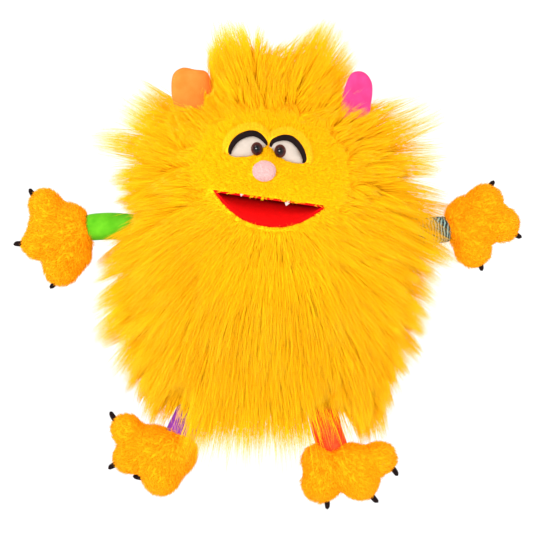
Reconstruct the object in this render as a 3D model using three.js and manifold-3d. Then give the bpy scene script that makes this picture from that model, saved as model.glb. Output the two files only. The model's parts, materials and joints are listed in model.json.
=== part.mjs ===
// A furry monster hand puppet with a moving mouth, as separate sewn pieces.
// Millimetres, +Z up, and the puppet faces -Y. The origin is the centre of the forearm
// opening, in the plane of the sleeve's hem. Left and right are as seen from the front,
// so left is -X. Each soft piece is a plain closed solid of its real size and place.
import * as THREE from "three";
import { mergeVertices } from "three/addons/utils/BufferGeometryUtils.js";
import Module from "manifold-3d";

const wasm = await Module();
wasm.setup();

// ---- driving dimensions ----
const GAP = 0.4; // clearance between pieces that touch
const BIG = 600; // larger than the whole puppet, for cutting planes

// The sack: half-width at heights above the hem, with the firm part of the pile.
const SACK_OUTLINE = [
  [78, 0], [94, 32], [105, 78], [108, 136], [105, 181], [90, 224],
  [68, 250], [50, 273], [33, 291], [16, 301], [0, 304],
];
const SACK_FLATNESS = 0.8; // depth over width
const SACK_STEPS = 15;
const SACK_SIDES = 24;
const RING_SEGMENTS = 12; // in each half of an elliptical ring
const CROWN_HEIGHT = 304;

const WRIST_HEIGHT = 85; // the sack bends here, at the wrist of the hand inside
const NOD_FORWARD = 18; // degrees of clearance cut in front of the bend
const NOD_BACK = 14;

const OPENING = { halfWidth: 58, halfDepth: 42 }; // for the hand and forearm
const HEM_HEIGHT = 8;
const HEM_WIDTH = 16;
const LINING = 2.6;

// The hollow in the head is the sack's own shape, narrowed and lowered about its waist.
const HOLLOW = { width: 0.76, height: 0.845, waist: 136, forward: 4 };
const PADDING = { width: 0.75, height: 0.838, from: 212 };

// The mouth: two boards hinged at the back, in a face that is rolled to one side.
const FACE = { x: 2.4, z: 169, roll: 8 };
const HINGE_Y = 4;
const JAW_REST = 15; // degrees open
const MOUTH = { halfWidth: 44, length: 80, straight: 26, behind: 3 };
const PARTING = 1.2; // from the hinge's plane to each lining
const LIP = { halfWidth: 53, length: 87, depth: 30, behind: 12 };
const JAW_REACH = 87.5; // everything on the jaw stays this close to its hinge line
const JAW_ROOM = { radius: 89.5, halfWidth: 60 };
const SLOT = { halfWidth: 57, height: 48, lip: 1.5 };
const FACING = 2.2; // thickness of the red mouth lining
const BOARD = 2;
const BOARD_INSET = 2; // from a lining's edge to its board's edge
const FINGER_POCKET = { halfWidth: 39, length: 62, height: 27, wall: 2.5, behind: 3 };
const THUMB_POCKET = { halfWidth: 19, length: 58, height: 27, wall: 2.5, behind: 8 };
const POCKET_MOUTH = 20; // how far a pocket's hollow is cut past its open end
const THUMB_ROOM = 9; // below the thumb pocket, through the chin
const HINGE_STRIP = { halfWidth: 42, thick: 2, up: 6, down: 9, behind: 4 };
const PALM_LINING = { halfWidth: 56, halfDepth: 50, wall: 2.5, from: 87, to: 191, front: 16 };

const EYE = { halfWidth: 15, depth: 10, halfHeight: 11.5, sunk: 2 };
const EYES = {
  left: { u: -23, v: 39.2, pupilU: -15.9, pupilV: 39.7 },
  right: { u: 9.8, v: 38.5, pupilU: 3, pupilV: 40.1 },
};
const EYES_MEET_U = -6.6;
const PUPIL = { radius: 5, dome: 4.5, seat: 7.4, stemRadius: 1.5, stem: 19, bore: 40 };
const WASHER = { radius: 6, thick: 1.6, fromSeat: 15 };
const WASHER_RECESS = { radius: 8, from: 13.5, to: 60 }; // along the pupil's stem
const TRIM = { inner: 0.4, outer: 3, from: 2 };
const LID = { inner: 3.4, outer: 8, from: 5 };
const NOSE = { radius: 9.6, u: -8.3, v: 21.9, proud: 4.5 };
const TEETH = {
  left: { u: -22.4, length: 3, radius: 2 },
  right: { u: 14.7, length: 4.4, radius: 2.7 },
};
const TOOTH_Y = -72;

const EAR = { halfWidth: 17, height: 42, thick: 6 };
const EARS = {
  left: { x: -59, y: -16, z: 236, lean: -8, turn: 12 },
  right: { x: 69, y: -16, z: 232, lean: 14, turn: -18 },
};

const ARM = { radius: 10.5, wall: 1.5 };
const LEG = { radius: 12, wall: 1.5 };
const PAW_SETBACK = 5; // from the wrist or ankle pivot to the paw
const SOCKET_ROOM = 2; // round a limb's end, for its paw to turn
const SKIN = 3; // a paw's plush and its pile
const PAW_MOUTH = { share: 0.7, depth: 25 }; // where a paw was stuffed: share of the limb's radius
const CLAW = { radius: 2.4, length: 9, bedded: 3 };

// Each limb: where it is sewn on, where its paw turns, and the paw's palm and digits.
// A palm is [x, y, z, rx, ry, rz]; a digit is [x, y, z, radius] and its claw's way in X and Z.
const LIMBS = {
  arm_left: {
    slot: "green_plush", tube: ARM, root: [-119.5, 0, 147], end: [-134, 0, 147],
    paw: "hand_left",
    palm: [-162, 0, 142, 25, 17, 26],
    digits: [
      { at: [-179, -2, 164, 13], claw: [-0.75, 0.66] },
      { at: [-186, -2, 132, 13], claw: [-1, 0.1] },
      { at: [-165, -2, 114, 14], claw: [-0.45, -0.9] },
    ],
  },
  arm_right: {
    slot: "teal_print", tube: ARM, root: [119.5, 0, 144], end: [137, 0, 144],
    paw: "hand_right",
    palm: [164, 0, 150, 23, 17, 23],
    digits: [
      { at: [176, -2, 166, 14], claw: [0.35, 0.94] },
      { at: [190, -2, 149, 14], claw: [0.8, -0.6] },
      { at: [166, -2, 129, 14], claw: [0.5, -0.87] },
    ],
  },
  leg_left: {
    slot: "purple_plush", tube: LEG, root: [-66, -26, -13.5], end: [-70, -28, -23],
    paw: "foot_left",
    palm: [-91, -30, -35, 25, 18, 23],
    digits: [
      { at: [-114, -32, -17, 13], claw: [-0.7, 0.7] },
      { at: [-111, -32, -40, 13], claw: [-0.9, -0.4] },
      { at: [-85, -32, -54, 17], claw: [-1, -0.1] },
    ],
  },
  leg_right: {
    slot: "red_plush", tube: LEG, root: [48, -38, -13.5], end: [51, -39, -24],
    paw: "foot_right",
    palm: [65, -42, -46, 27, 18, 20],
    digits: [
      { at: [44, -44, -60, 16], claw: [0.3, -0.95] },
      { at: [76, -44, -59, 16], claw: [0.6, -0.8] },
      { at: [92, -44, -40, 14], claw: [0.75, -0.66] },
    ],
  },
};

// ---- materials ----
const COLOURS = {
  long_pile: 0xfeb80a, short_pile: 0xffaa0a, lining: 0xe8c060, board: 0x3a3a3c,
  mouth_plush: 0xe00808, wadding: 0xf4f2ec, nose_plush: 0xf8c8cc, eye_felt: 0xf2ece6,
  pupil: 0x24100a, washer: 0xe8e8e4, black_felt: 0x1e1612, ear_orange: 0xff8240,
  ear_pink: 0xf8469a, green_plush: 0x5cd628, teal_print: 0x2e5450,
  purple_plush: 0x7c3094, red_plush: 0xf44420, tooth_felt: 0xf8f4ea,
};
const SHINY = new Set(["pupil"]);

function material(slot) {
  return new THREE.MeshStandardMaterial({
    name: slot,
    color: COLOURS[slot],
    roughness: SHINY.has(slot) ? 0.12 : 0.9,
    metalness: 0,
  });
}

// ---- solids ----
function solid(geometry) {
  const bare = geometry.clone();
  bare.deleteAttribute("normal");
  bare.deleteAttribute("uv");
  const merged = mergeVertices(bare, 1e-3);
  return new wasm.Manifold(new wasm.Mesh({
    numProp: 3,
    vertProperties: merged.attributes.position.array,
    triVerts: new Uint32Array(merged.index.array),
  }));
}

function geometryOf(body) {
  const mesh = body.getMesh();
  const geometry = new THREE.BufferGeometry();
  geometry.setAttribute("position", new THREE.BufferAttribute(mesh.vertProperties, 3));
  geometry.setIndex(new THREE.BufferAttribute(mesh.triVerts, 1));
  geometry.computeVertexNormals();
  return geometry;
}

function addPiece(group, name, slot, body) {
  const mesh = new THREE.Mesh(geometryOf(body), material(slot));
  mesh.name = name;
  group.add(mesh);
}

const box = (x0, x1, y0, y1, z0, z1) =>
  solid(new THREE.BoxGeometry(x1 - x0, y1 - y0, z1 - z0)
    .translate((x0 + x1) / 2, (y0 + y1) / 2, (z0 + z1) / 2));

const above = (z) => box(-BIG, BIG, -BIG, BIG, z, BIG);

const ball = (x, y, z, rx, ry = rx, rz = rx, sides = 12, rings = 8) =>
  solid(new THREE.SphereGeometry(1, sides, rings).rotateX(Math.PI / 2)
    .scale(rx, ry, rz).translate(x, y, z));

const joined = (bodies) => bodies.reduce((sum, body) => sum.add(body));

// A cut body without the slivers that a cut can leave beside it.
const whole = (body) =>
  body.decompose().reduce((most, part) => (part.volume() > most.volume() ? part : most));

const degrees = THREE.MathUtils.degToRad;

// A round body about the line from one point towards another; the profile is [radius, along].
function turned(profile, from, towards, sides = 12) {
  const lathe = new THREE.LatheGeometry(profile.map(([r, a]) => new THREE.Vector2(r, a)), sides);
  const start = new THREE.Vector3(...from);
  const direction = new THREE.Vector3(...towards).sub(start).normalize();
  const turn = new THREE.Quaternion().setFromUnitVectors(new THREE.Vector3(0, 1, 0), direction);
  return solid(lathe.applyQuaternion(turn).translate(...from));
}

// An outline in the X-Y plane, raised from z0 to z1.
function raised(shape, z0, z1, curveSegments = 8) {
  const options = { depth: z1 - z0, bevelEnabled: false, curveSegments };
  return solid(new THREE.ExtrudeGeometry(shape, options).translate(0, 0, z0));
}

function ellipse(halfWidth, halfDepth) {
  return new THREE.Shape().absellipse(0, 0, halfWidth, halfDepth, 0, Math.PI * 2);
}

const ellipticRing = (outer, inner, z0, z1) =>
  raised(ellipse(...outer), z0, z1, RING_SEGMENTS)
    .subtract(raised(ellipse(...inner), z0 - 1, z1 + 1, RING_SEGMENTS));

// ---- the sack ----
function sackShape(width = 1, height = 1, forward = 0) {
  const points = SACK_OUTLINE.map(([r, z]) => new THREE.Vector2(r, z));
  const side = new THREE.SplineCurve(points).getPoints(SACK_STEPS);
  side.forEach((p) => p.setX(Math.max(p.x, 0)));
  side[side.length - 1].set(0, CROWN_HEIGHT);
  const lathe = new THREE.LatheGeometry([new THREE.Vector2(0, 0), ...side], SACK_SIDES);
  return solid(lathe.rotateX(Math.PI / 2).scale(width, width * SACK_FLATNESS, 1)
    .translate(0, -forward, -HOLLOW.waist).scale(1, 1, height).translate(0, 0, HOLLOW.waist));
}

const sackOuter = sackShape();
const justOutsideSack = sackShape(1.006, 1.004);

function frontOfSack(x, z) {
  const ray = box(x - 0.05, x + 0.05, -BIG, 0, z - 0.05, z + 0.05).intersect(sackOuter);
  return ray.boundingBox().min[1];
}

// Below the bend: a prism whose top slopes away from the wrist's axis, front and back.
function belowBend() {
  const ridge = WRIST_HEIGHT - GAP;
  const drop = (angle) => ridge - BIG * Math.tan(degrees(angle));
  const shape = new THREE.Shape();
  shape.moveTo(-BIG, drop(NOD_FORWARD));
  shape.lineTo(-BIG, -BIG);
  shape.lineTo(BIG, -BIG);
  shape.lineTo(BIG, drop(NOD_BACK));
  shape.lineTo(0, ridge);
  const prism = new THREE.ExtrudeGeometry(shape, { depth: 2 * BIG, bevelEnabled: false });
  return solid(prism.translate(0, 0, -BIG).rotateX(Math.PI / 2).rotateZ(Math.PI / 2));
}

function addLowerSack(group) {
  const { halfWidth, halfDepth } = OPENING;
  const liningOuter = [halfWidth + LINING, halfDepth + LINING];
  const coatInner = [liningOuter[0] + GAP, liningOuter[1] + GAP];
  const coatFrom = HEM_HEIGHT + GAP;
  const room = belowBend();
  const bore = raised(ellipse(...coatInner), -1, CROWN_HEIGHT, RING_SEGMENTS);
  const coat = sackOuter.intersect(above(coatFrom)).intersect(room).subtract(bore);
  const lining = ellipticRing(liningOuter, [halfWidth, halfDepth], coatFrom, WRIST_HEIGHT)
    .intersect(room);
  const hemOuter = [halfWidth + HEM_WIDTH, halfDepth + HEM_WIDTH];
  addPiece(group, "lower_coat", "long_pile", coat);
  addPiece(group, "sleeve_lining", "lining", lining);
  addPiece(group, "sleeve_hem", "short_pile",
    ellipticRing(hemOuter, [halfWidth, halfDepth], 0, HEM_HEIGHT));
}

// ---- the mouth ----
// A board's outline: straight across the hinge, straight sides and a round front.
function mouthOutline(halfWidth, length, straight, behind) {
  const shape = new THREE.Shape();
  shape.moveTo(halfWidth, -behind);
  shape.lineTo(-halfWidth, -behind);
  shape.lineTo(-halfWidth, -straight);
  shape.absellipse(0, -straight, halfWidth, length - straight, Math.PI, Math.PI * 2);
  return shape;
}

function mouthPlate(grow, z0, z1, behind = MOUTH.behind) {
  const { halfWidth, length, straight } = MOUTH;
  return raised(mouthOutline(halfWidth + grow, length + grow, straight, behind), z0, z1);
}

// A flat pocket of sewn lining, open at the back.
function pocket({ halfWidth, length, height, wall, behind }, z0) {
  const round = length * 0.5;
  const outer = mouthOutline(halfWidth, length, round, behind);
  const inner = mouthOutline(halfWidth - wall, length - wall, round, behind - POCKET_MOUTH);
  return raised(outer, z0, z0 + height)
    .subtract(raised(inner, z0 + wall, z0 + height - wall));
}

const hingeCylinder = (radius, halfWidth) =>
  turned([[0, -halfWidth], [radius, -halfWidth], [radius, halfWidth], [0, halfWidth]],
    [0, 0, 0], [1, 0, 0], 36);

function addUpperMouth(group) {
  const boardFrom = PARTING + FACING + GAP;
  addPiece(group, "palate_lining", "mouth_plush", mouthPlate(0, PARTING, PARTING + FACING));
  addPiece(group, "upper_mouth_board", "board",
    mouthPlate(-BOARD_INSET, boardFrom, boardFrom + BOARD));
  addPiece(group, "finger_pocket", "lining", pocket(FINGER_POCKET, boardFrom + BOARD + GAP));
  const { halfWidth, thick, up, down, behind } = HINGE_STRIP;
  addPiece(group, "mouth_hinge_strip", "mouth_plush",
    box(-halfWidth, halfWidth, behind, behind + thick, -down, up));
  for (const side of ["left", "right"]) {
    const { u, length, radius } = TEETH[side];
    const root = [u, TOOTH_Y, PARTING - GAP];
    addPiece(group, "tooth_" + side, "tooth_felt",
      turned([[0, 0], [radius, 0], [0, length]], root, [u, TOOTH_Y, -BIG], 8));
  }
}

function addJaw(group) {
  const boardTop = -PARTING - FACING - GAP;
  const { halfWidth, length, height } = THUMB_POCKET;
  const pocketFrom = boardTop - BOARD - GAP - height;
  addPiece(group, "jaw_lining", "mouth_plush", mouthPlate(0, -PARTING - FACING, -PARTING));
  addPiece(group, "lower_mouth_board", "board",
    mouthPlate(-BOARD_INSET, boardTop - BOARD, boardTop));
  addPiece(group, "thumb_pocket", "lining", pocket(THUMB_POCKET, pocketFrom));
  const channel = raised(
    mouthOutline(halfWidth + GAP, length + GAP, length / 2, 0), pocketFrom - THUMB_ROOM, 0);
  const boards = mouthPlate(GAP, boardTop - BOARD - GAP, 0, 0);
  const chin = raised(mouthOutline(LIP.halfWidth, LIP.length, MOUTH.straight, LIP.behind),
    -LIP.depth, -PARTING)
    .intersect(hingeCylinder(JAW_REACH, LIP.halfWidth))
    .subtract(boards).subtract(channel);
  addPiece(group, "chin_coat", "short_pile", chin);
}

// What the head's coat gives up for the mouth, in the face's frame.
function mouthRoom() {
  const { halfWidth, height, lip } = SLOT;
  const slot = new THREE.Shape();
  slot.moveTo(halfWidth, lip);
  slot.lineTo(-halfWidth, lip);
  slot.absellipse(0, lip, halfWidth, height + lip, Math.PI, Math.PI * 2);
  const way = solid(new THREE.ExtrudeGeometry(slot, { depth: BIG, bevelEnabled: false })
    .rotateX(Math.PI / 2));
  const boards = mouthPlate(GAP, -PARTING, PARTING + FACING + GAP + BOARD + GAP, 0)
    .translate([0, HINGE_Y, 0]);
  const swing = hingeCylinder(JAW_ROOM.radius, JAW_ROOM.halfWidth).translate([0, HINGE_Y, 0])
    .intersect(box(-BIG, BIG, -BIG, HINGE_Y, -BIG, 0));
  return way.add(boards).add(swing);
}

// ---- the eyes and nose ----
const eyeball = ({ u, v, y }, grow) =>
  ball(u, y, v, EYE.halfWidth + grow, EYE.depth + grow, EYE.halfHeight + grow, 14, 8);

// The eye's outline, grown a little and carried straight through from front to back.
const eyeTunnel = ({ u, v }, grow) =>
  solid(new THREE.ExtrudeGeometry(ellipse(EYE.halfWidth + grow, EYE.halfHeight + grow),
    { depth: BIG, bevelEnabled: false, curveSegments: 10 })
    .rotateX(Math.PI / 2).translate(u, 0, v));

const across = (radius, u, v, y0, y1) =>
  turned([[0, 0], [radius, 0], [radius, y1 - y0], [0, y1 - y0]], [u, y0, v], [u, y1, v]);

function addEye(group, side, front, sack) {
  const { u, v, pupilU, pupilV } = EYES[side];
  const y = front(u, v) + EYE.sunk;
  const eye = { u, v, y };
  const seat = y - PUPIL.seat;
  const half = side === "left"
    ? box(-BIG, EYES_MEET_U - GAP / 2, -BIG, BIG, -BIG, BIG)
    : box(EYES_MEET_U + GAP / 2, BIG, -BIG, BIG, -BIG, BIG);
  const white = eyeball(eye, 0).subtract(sack)
    .subtract(across(PUPIL.radius + GAP, pupilU, pupilV, seat - BIG, seat))
    .subtract(across(PUPIL.stemRadius + GAP, pupilU, pupilV, seat - GAP, seat + BIG));
  addPiece(group, "eye_white_" + side, "eye_felt", white);

  const { radius, dome, stemRadius, stem } = PUPIL;
  const steps = 4;
  const bowl = Array.from({ length: steps + 1 }, (_, i) => {
    const angle = (i / steps) * Math.PI / 2;
    return [radius * Math.sin(angle), -GAP - dome * Math.cos(angle)];
  });
  bowl[0][0] = 0;
  const profile = [...bowl, [stemRadius, -GAP], [stemRadius, stem], [0, stem]];
  addPiece(group, "pupil_" + side, "pupil",
    turned(profile, [pupilU, seat, pupilV], [pupilU, seat + 1, pupilV]));

  const washerY = seat + WASHER.fromSeat;
  addPiece(group, "eye_washer_" + side, "washer",
    across(WASHER.radius, pupilU, pupilV, washerY, washerY + WASHER.thick)
      .subtract(across(stemRadius + GAP, pupilU, pupilV, seat, seat + BIG)));

  const rim = ({ inner, outer, from }) => whole(eyeball(eye, outer)
    .subtract(eyeTunnel(eye, inner)).intersect(above(v + from)).intersect(half).subtract(sack));
  addPiece(group, "lid_trim_" + side, "black_felt", rim(TRIM));
  addPiece(group, "eyelid_" + side, "short_pile", rim(LID));

  const recess = WASHER_RECESS;
  return across(stemRadius + GAP, pupilU, pupilV, seat, seat + PUPIL.bore)
    .add(across(recess.radius, pupilU, pupilV, seat + recess.from, seat + recess.to));
}

function addNose(group, front) {
  const { radius, u, v, proud } = NOSE;
  const y = front(u, v) - proud;
  addPiece(group, "nose_ball", "nose_plush", ball(u, y, v, radius, radius, radius, 14, 8));
  return ball(u, y, v, radius + GAP, radius + GAP, radius + GAP, 14, 8);
}

// ---- the ears ----
function earSolid(grow) {
  const halfWidth = EAR.halfWidth + grow;
  const shape = new THREE.Shape();
  shape.moveTo(halfWidth * 0.8, -grow);
  shape.bezierCurveTo(halfWidth * 1.15, EAR.height * 0.5, halfWidth * 0.9, EAR.height + grow,
    0, EAR.height + grow);
  shape.bezierCurveTo(-halfWidth * 0.9, EAR.height + grow, -halfWidth * 1.15, EAR.height * 0.5,
    -halfWidth * 0.8, -grow);
  const thick = EAR.thick + 2 * grow;
  const options = { depth: thick, bevelEnabled: false, curveSegments: 8 };
  return new THREE.ExtrudeGeometry(shape, options)
    .translate(0, 0, -thick / 2).rotateX(Math.PI / 2);
}

function placedEar({ x, y, z, lean, turn }, grow) {
  return solid(earSolid(grow).rotateZ(degrees(turn)).rotateY(degrees(lean)).translate(x, y, z));
}

function addEars(group) {
  addPiece(group, "ear_left", "ear_orange", placedEar(EARS.left, 0));
  addPiece(group, "ear_right", "ear_pink", placedEar(EARS.right, 0));
  return placedEar(EARS.left, GAP).add(placedEar(EARS.right, GAP));
}

// ---- the head ----
function addHead(group) {
  const face = new THREE.Group();
  face.position.set(FACE.x, 0, FACE.z);
  face.rotation.y = degrees(FACE.roll);
  group.add(face);
  group.updateMatrixWorld(true);
  const toWorld = face.matrixWorld.toArray();
  const toFace = face.matrixWorld.clone().invert().toArray();
  const front = (u, v) => {
    const point = new THREE.Vector3(u, 0, v).applyMatrix4(face.matrixWorld);
    return frontOfSack(point.x, point.z);
  };

  const mouth = new THREE.Group();
  mouth.position.y = HINGE_Y;
  face.add(mouth);
  addUpperMouth(mouth);
  const jaw = new THREE.Group();
  jaw.position.y = HINGE_Y;
  jaw.rotation.x = degrees(JAW_REST);
  face.add(jaw);
  addJaw(jaw);

  const sackInFace = justOutsideSack.transform(toFace);
  const eyeRoom = joined([
    addEye(face, "left", front, sackInFace),
    addEye(face, "right", front, sackInFace),
    addNose(face, front),
    mouthRoom(),
  ]);
  const hollow = sackShape(HOLLOW.width, HOLLOW.height, HOLLOW.forward);
  const earRoom = addEars(group);
  const coat = sackOuter.intersect(above(WRIST_HEIGHT)).subtract(hollow)
    .subtract(eyeRoom.transform(toWorld)).subtract(earRoom);
  addPiece(group, "head_coat", "long_pile", coat);

  const padding = sackShape(PADDING.width, PADDING.height, HOLLOW.forward)
    .intersect(above(PADDING.from)).subtract(eyeRoom.transform(toWorld)).subtract(earRoom);
  addPiece(group, "head_padding", "wadding", padding);

  const { halfWidth, halfDepth, wall, from, to, front: frontEdge } = PALM_LINING;
  const palm = ellipticRing([halfWidth, halfDepth], [halfWidth - wall, halfDepth - wall],
    from, to).intersect(box(-BIG, BIG, frontEdge, BIG, 0, BIG));
  addPiece(group, "palm_lining", "lining", palm);
}

// ---- the limbs ----
// A round-ended tube of plush, with a hole at its far end for the stuffing.
function limbSleeve({ tube: { radius, wall }, root, end }) {
  const length = new THREE.Vector3(...root).distanceTo(new THREE.Vector3(...end));
  const steps = 3;
  const cap = (r, centre, sign) => Array.from({ length: steps + 1 }, (_, i) => {
    const angle = (i / steps) * Math.PI / 2;
    return [r * Math.cos(angle), centre + sign * r * Math.sin(angle)];
  });
  const capsule = (r) => {
    const foot = cap(r, 0, -1).reverse();
    const head = cap(r, length, 1);
    foot[0][0] = 0;
    head[steps][0] = 0;
    return turned([...foot, ...head], root, end);
  };
  const [short, long] = [radius / 2, length + radius * 2];
  const hole = turned([[0, length], [short, length], [short, long], [0, long]], root, end);
  return {
    sleeve: capsule(radius).subtract(capsule(radius - wall)).subtract(hole),
    stuffing: capsule(radius - wall - GAP),
  };
}

function digitClaw({ at: [x, y, z, radius], claw: [dx, dz] }, grow) {
  const size = Math.hypot(dx, dz);
  const start = radius - CLAW.bedded - grow;
  const from = [x + (dx / size) * start, y, z + (dz / size) * start];
  const towards = [x + dx * BIG, y, z + dz * BIG];
  return turned([[0, 0], [CLAW.radius + grow, 0], [0, CLAW.length + 2 * grow]], from, towards, 8);
}

function pawBody({ palm, digits }, inset) {
  const [x, y, z, rx, ry, rz] = palm;
  const sides = inset ? [8, 6] : [10, 8];
  const lobes = digits.map(({ at: [dx, dy, dz, r] }) =>
    ball(dx, dy, dz, r - inset, r - inset, r - inset, ...sides));
  return joined([ball(x, y, z, rx - inset, ry - inset, rz - inset, ...sides), ...lobes]);
}

function addLimb(group, name, limb) {
  const { slot, tube, end, paw, palm, digits } = limb;
  const { sleeve, stuffing } = limbSleeve(limb);
  addPiece(group, name + "_sleeve", slot, sleeve);
  addPiece(group, name + "_stuffing", "wadding", stuffing);

  const [palmX, palmY, palmZ] = palm;
  const atPalm = [palmX, palmY, palmZ];
  const socket = ball(...end, tube.radius + SOCKET_ROOM);
  const behind = turned([[0, -BIG], [BIG, -BIG], [BIG, PAW_SETBACK], [0, PAW_SETBACK]],
    end, atPalm);
  const inner = pawBody(limb, SKIN).subtract(behind);
  const mouthRadius = tube.radius * PAW_MOUTH.share;
  const mouth = turned(
    [[0, 0], [mouthRadius, 0], [mouthRadius, PAW_MOUTH.depth], [0, PAW_MOUTH.depth]],
    end, atPalm);
  const beds = joined(digits.map((digit) => digitClaw(digit, GAP)));
  const skin = whole(pawBody(limb, 0).subtract(behind).subtract(socket)
    .subtract(inner).subtract(mouth).subtract(beds));
  const core = whole(pawBody(limb, SKIN + GAP).subtract(behind)
    .subtract(ball(...end, tube.radius + SOCKET_ROOM + SKIN)).subtract(beds));
  addPiece(group, paw + "_skin", "short_pile", skin);
  addPiece(group, paw + "_stuffing", "wadding", core);
  digits.forEach((digit, i) => {
    addPiece(group, paw + "_claw_" + (i + 1), "black_felt", digitClaw(digit, 0));
  });
}

// ---- the puppet ----
const puppet = new THREE.Group();
puppet.name = "furry_monster_hand_puppet";
addLowerSack(puppet);
addHead(puppet);
for (const [name, limb] of Object.entries(LIMBS)) {
  addLimb(puppet, name, limb);
}

export default puppet;
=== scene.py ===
"""A furry monster hand puppet with a moving mouth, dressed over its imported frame.

Metres, +Z up, and the puppet faces -Y; left and right are as seen from the front.
(x, z) is a place seen from the front. (u, v) is the same in the face's own frame, whose
origin is on the mouth's hinge line and which is rolled a little to one side.
"""

import json
import math

import bmesh
import bpy
import numpy as np
from mathutils import Matrix, Vector
from mathutils.bvhtree import BVHTree
from mathutils.kdtree import KDTree


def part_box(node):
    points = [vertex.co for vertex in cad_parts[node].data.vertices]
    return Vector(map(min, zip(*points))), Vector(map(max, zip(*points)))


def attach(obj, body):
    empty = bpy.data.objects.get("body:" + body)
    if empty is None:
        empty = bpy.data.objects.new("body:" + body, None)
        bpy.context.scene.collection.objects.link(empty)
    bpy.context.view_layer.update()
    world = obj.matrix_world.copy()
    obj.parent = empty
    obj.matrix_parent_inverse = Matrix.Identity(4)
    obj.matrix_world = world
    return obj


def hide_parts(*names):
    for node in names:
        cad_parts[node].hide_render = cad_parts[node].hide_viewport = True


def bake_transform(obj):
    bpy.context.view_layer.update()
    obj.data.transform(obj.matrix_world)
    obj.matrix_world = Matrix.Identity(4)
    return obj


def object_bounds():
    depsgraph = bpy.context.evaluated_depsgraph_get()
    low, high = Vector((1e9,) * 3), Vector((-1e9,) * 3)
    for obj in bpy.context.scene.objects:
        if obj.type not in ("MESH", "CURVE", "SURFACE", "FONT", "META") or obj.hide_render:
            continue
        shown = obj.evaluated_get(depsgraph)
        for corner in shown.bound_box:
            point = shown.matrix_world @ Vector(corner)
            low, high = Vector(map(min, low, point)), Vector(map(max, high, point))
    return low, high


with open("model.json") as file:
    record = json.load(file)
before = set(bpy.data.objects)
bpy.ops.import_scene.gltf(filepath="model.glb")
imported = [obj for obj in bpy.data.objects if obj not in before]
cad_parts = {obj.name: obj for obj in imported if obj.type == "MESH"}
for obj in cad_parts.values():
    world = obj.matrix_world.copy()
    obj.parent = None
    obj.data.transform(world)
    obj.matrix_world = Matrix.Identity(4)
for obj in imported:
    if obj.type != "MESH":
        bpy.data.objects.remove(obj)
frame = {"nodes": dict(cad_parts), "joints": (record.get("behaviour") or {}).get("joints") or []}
cad_low, cad_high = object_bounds()
rng = np.random.default_rng(7)
MM = 0.001

# ---- driving dimensions ----
# The sack: half-width at heights above the hem, out to the firm part of the pile.
SACK_OUTLINE = np.array([
    [78, 0], [94, 32], [105, 78], [108, 136], [105, 181], [90, 224],
    [68, 250], [50, 273], [33, 291], [16, 301], [0.5, 304],
]) * MM
SACK_FLATNESS = 0.8
PILE_DEPTH = 0.016  # from the firm part of the pile down to the cloth
CROWN_PILE_DEPTH = 0.017
BEND_BELOW, BEND_ABOVE = 0.055, 0.118  # heights between which the sack folds at the wrist

FACE_CENTRE = np.array([-2, 22]) * MM  # the short-haired face, an ellipse in (u, v)
FACE_RADII = np.array([54, 40]) * MM
FACE_RISE = 0.0035  # under the firm surface there

LIP_HALF_WIDTH = 0.0455
UPPER_LIP_V = 0.001
LOWER_LIP_DROP = 0.0225
LIP_CURVE = 2.3
LIP_MARGIN = 0.0004  # between the lower lip's edge and the chin's pile
LINING_SWELL = 3.6  # over 1, the plush inside the mouth swells up behind the lip
LINING_THICKNESS = 0.0018
PALATE_EDGE, JAW_EDGE = 0.002, -0.0005  # how far behind the face's cloth each lining ends
SLOT = np.array([57, 50]) * MM  # the jaw's room in the coat, half an ellipse below the lips
SLOT_DEPTH = 0.028
CHIN_OVERLAP = 0.003  # of the chin's cloth behind the coat's, beside the mouth
CHIN_FROM, CHIN_TO = -0.060, -0.024  # v between which the chin's cloth takes up the jaw's turn
CHIN_BOTTOM = 0.058
HINGE_GAP = 0.0012  # of each lining above or below the mouth's hinge line
HEM_WIDTH = 0.016

PILE_LENGTH = 0.060
FACE_PILE_LENGTH = 0.0052
PAW_PILE_LENGTH = 0.0045
LID_PILE_LENGTH = 0.0024
NOSE_PILE_LENGTH = 0.0013
LONG_STRANDS = 80000
FACE_STRANDS = 15000
CHIN_STRANDS = 5200
PAW_STRANDS = 9000
MOUTH_STRANDS = 9000
LID_STRANDS = 1800
NOSE_STRANDS = 2600
STRANDS_PER_PIECE = 6900
COAT_TUFT, COAT_LOCK = 22, 170  # strands in a tuft and in a lock of the coat
FACE_TUFT, PAW_TUFT, CHIN_TUFT = 14, 16, 24
LONG_WIDTH, SHORT_WIDTH = 0.00052, 0.00050  # of one strand
LID_STRAND_WIDTH, NOSE_STRAND_WIDTH = 0.00045, 0.00042
PARTING = (-0.006, 0.018)  # the crown's pile changes sides between these x
PARTING_X = 0.005  # where the crown's pile is shortest

LIMB_IN_SACK, LIMB_IN_PAW = 0.016, 0.014  # how far a limb's tube runs on past its joints
LIMB_PUFF, PAW_PUFF = 0.0015, 0.0016  # the most that the simulation may move a point
PAW_GROWTH = 0.0030  # of a paw's plush over its stuffing
PAW_CELL = 0.0036
CLAW_BEND, CLAW_TIP = 0.0012, 0.8  # how far a claw's end is bent, and its share of the base
TOOTH_BEND, TOOTH_TIP = -0.0006, 0.25
STUFFING_PRESSURE = 4
STUFFING_FRAMES = 20
TONES = 64  # steps of colour from strand to strand

CAMERA_DISTANCE = 12.0  # a long lens, from straight in front
VIEW_WIDTH = 0.4317  # seen across the middle of the puppet
VIEW_HEIGHT = 0.1146  # of the picture's middle over the hem

joints = {joint["name"]: joint for joint in frame["joints"]}
HINGE = np.array(joints["jaw_open"]["pos_m"])
ROLL_COS, ROLL_SIN = joints["jaw_open"]["axis"][0], -joints["jaw_open"]["axis"][2]
RADIAL_FROM = np.array([HINGE[0] + 0.0005, HINGE[2] + 0.017])  # the pile parts from here


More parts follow.
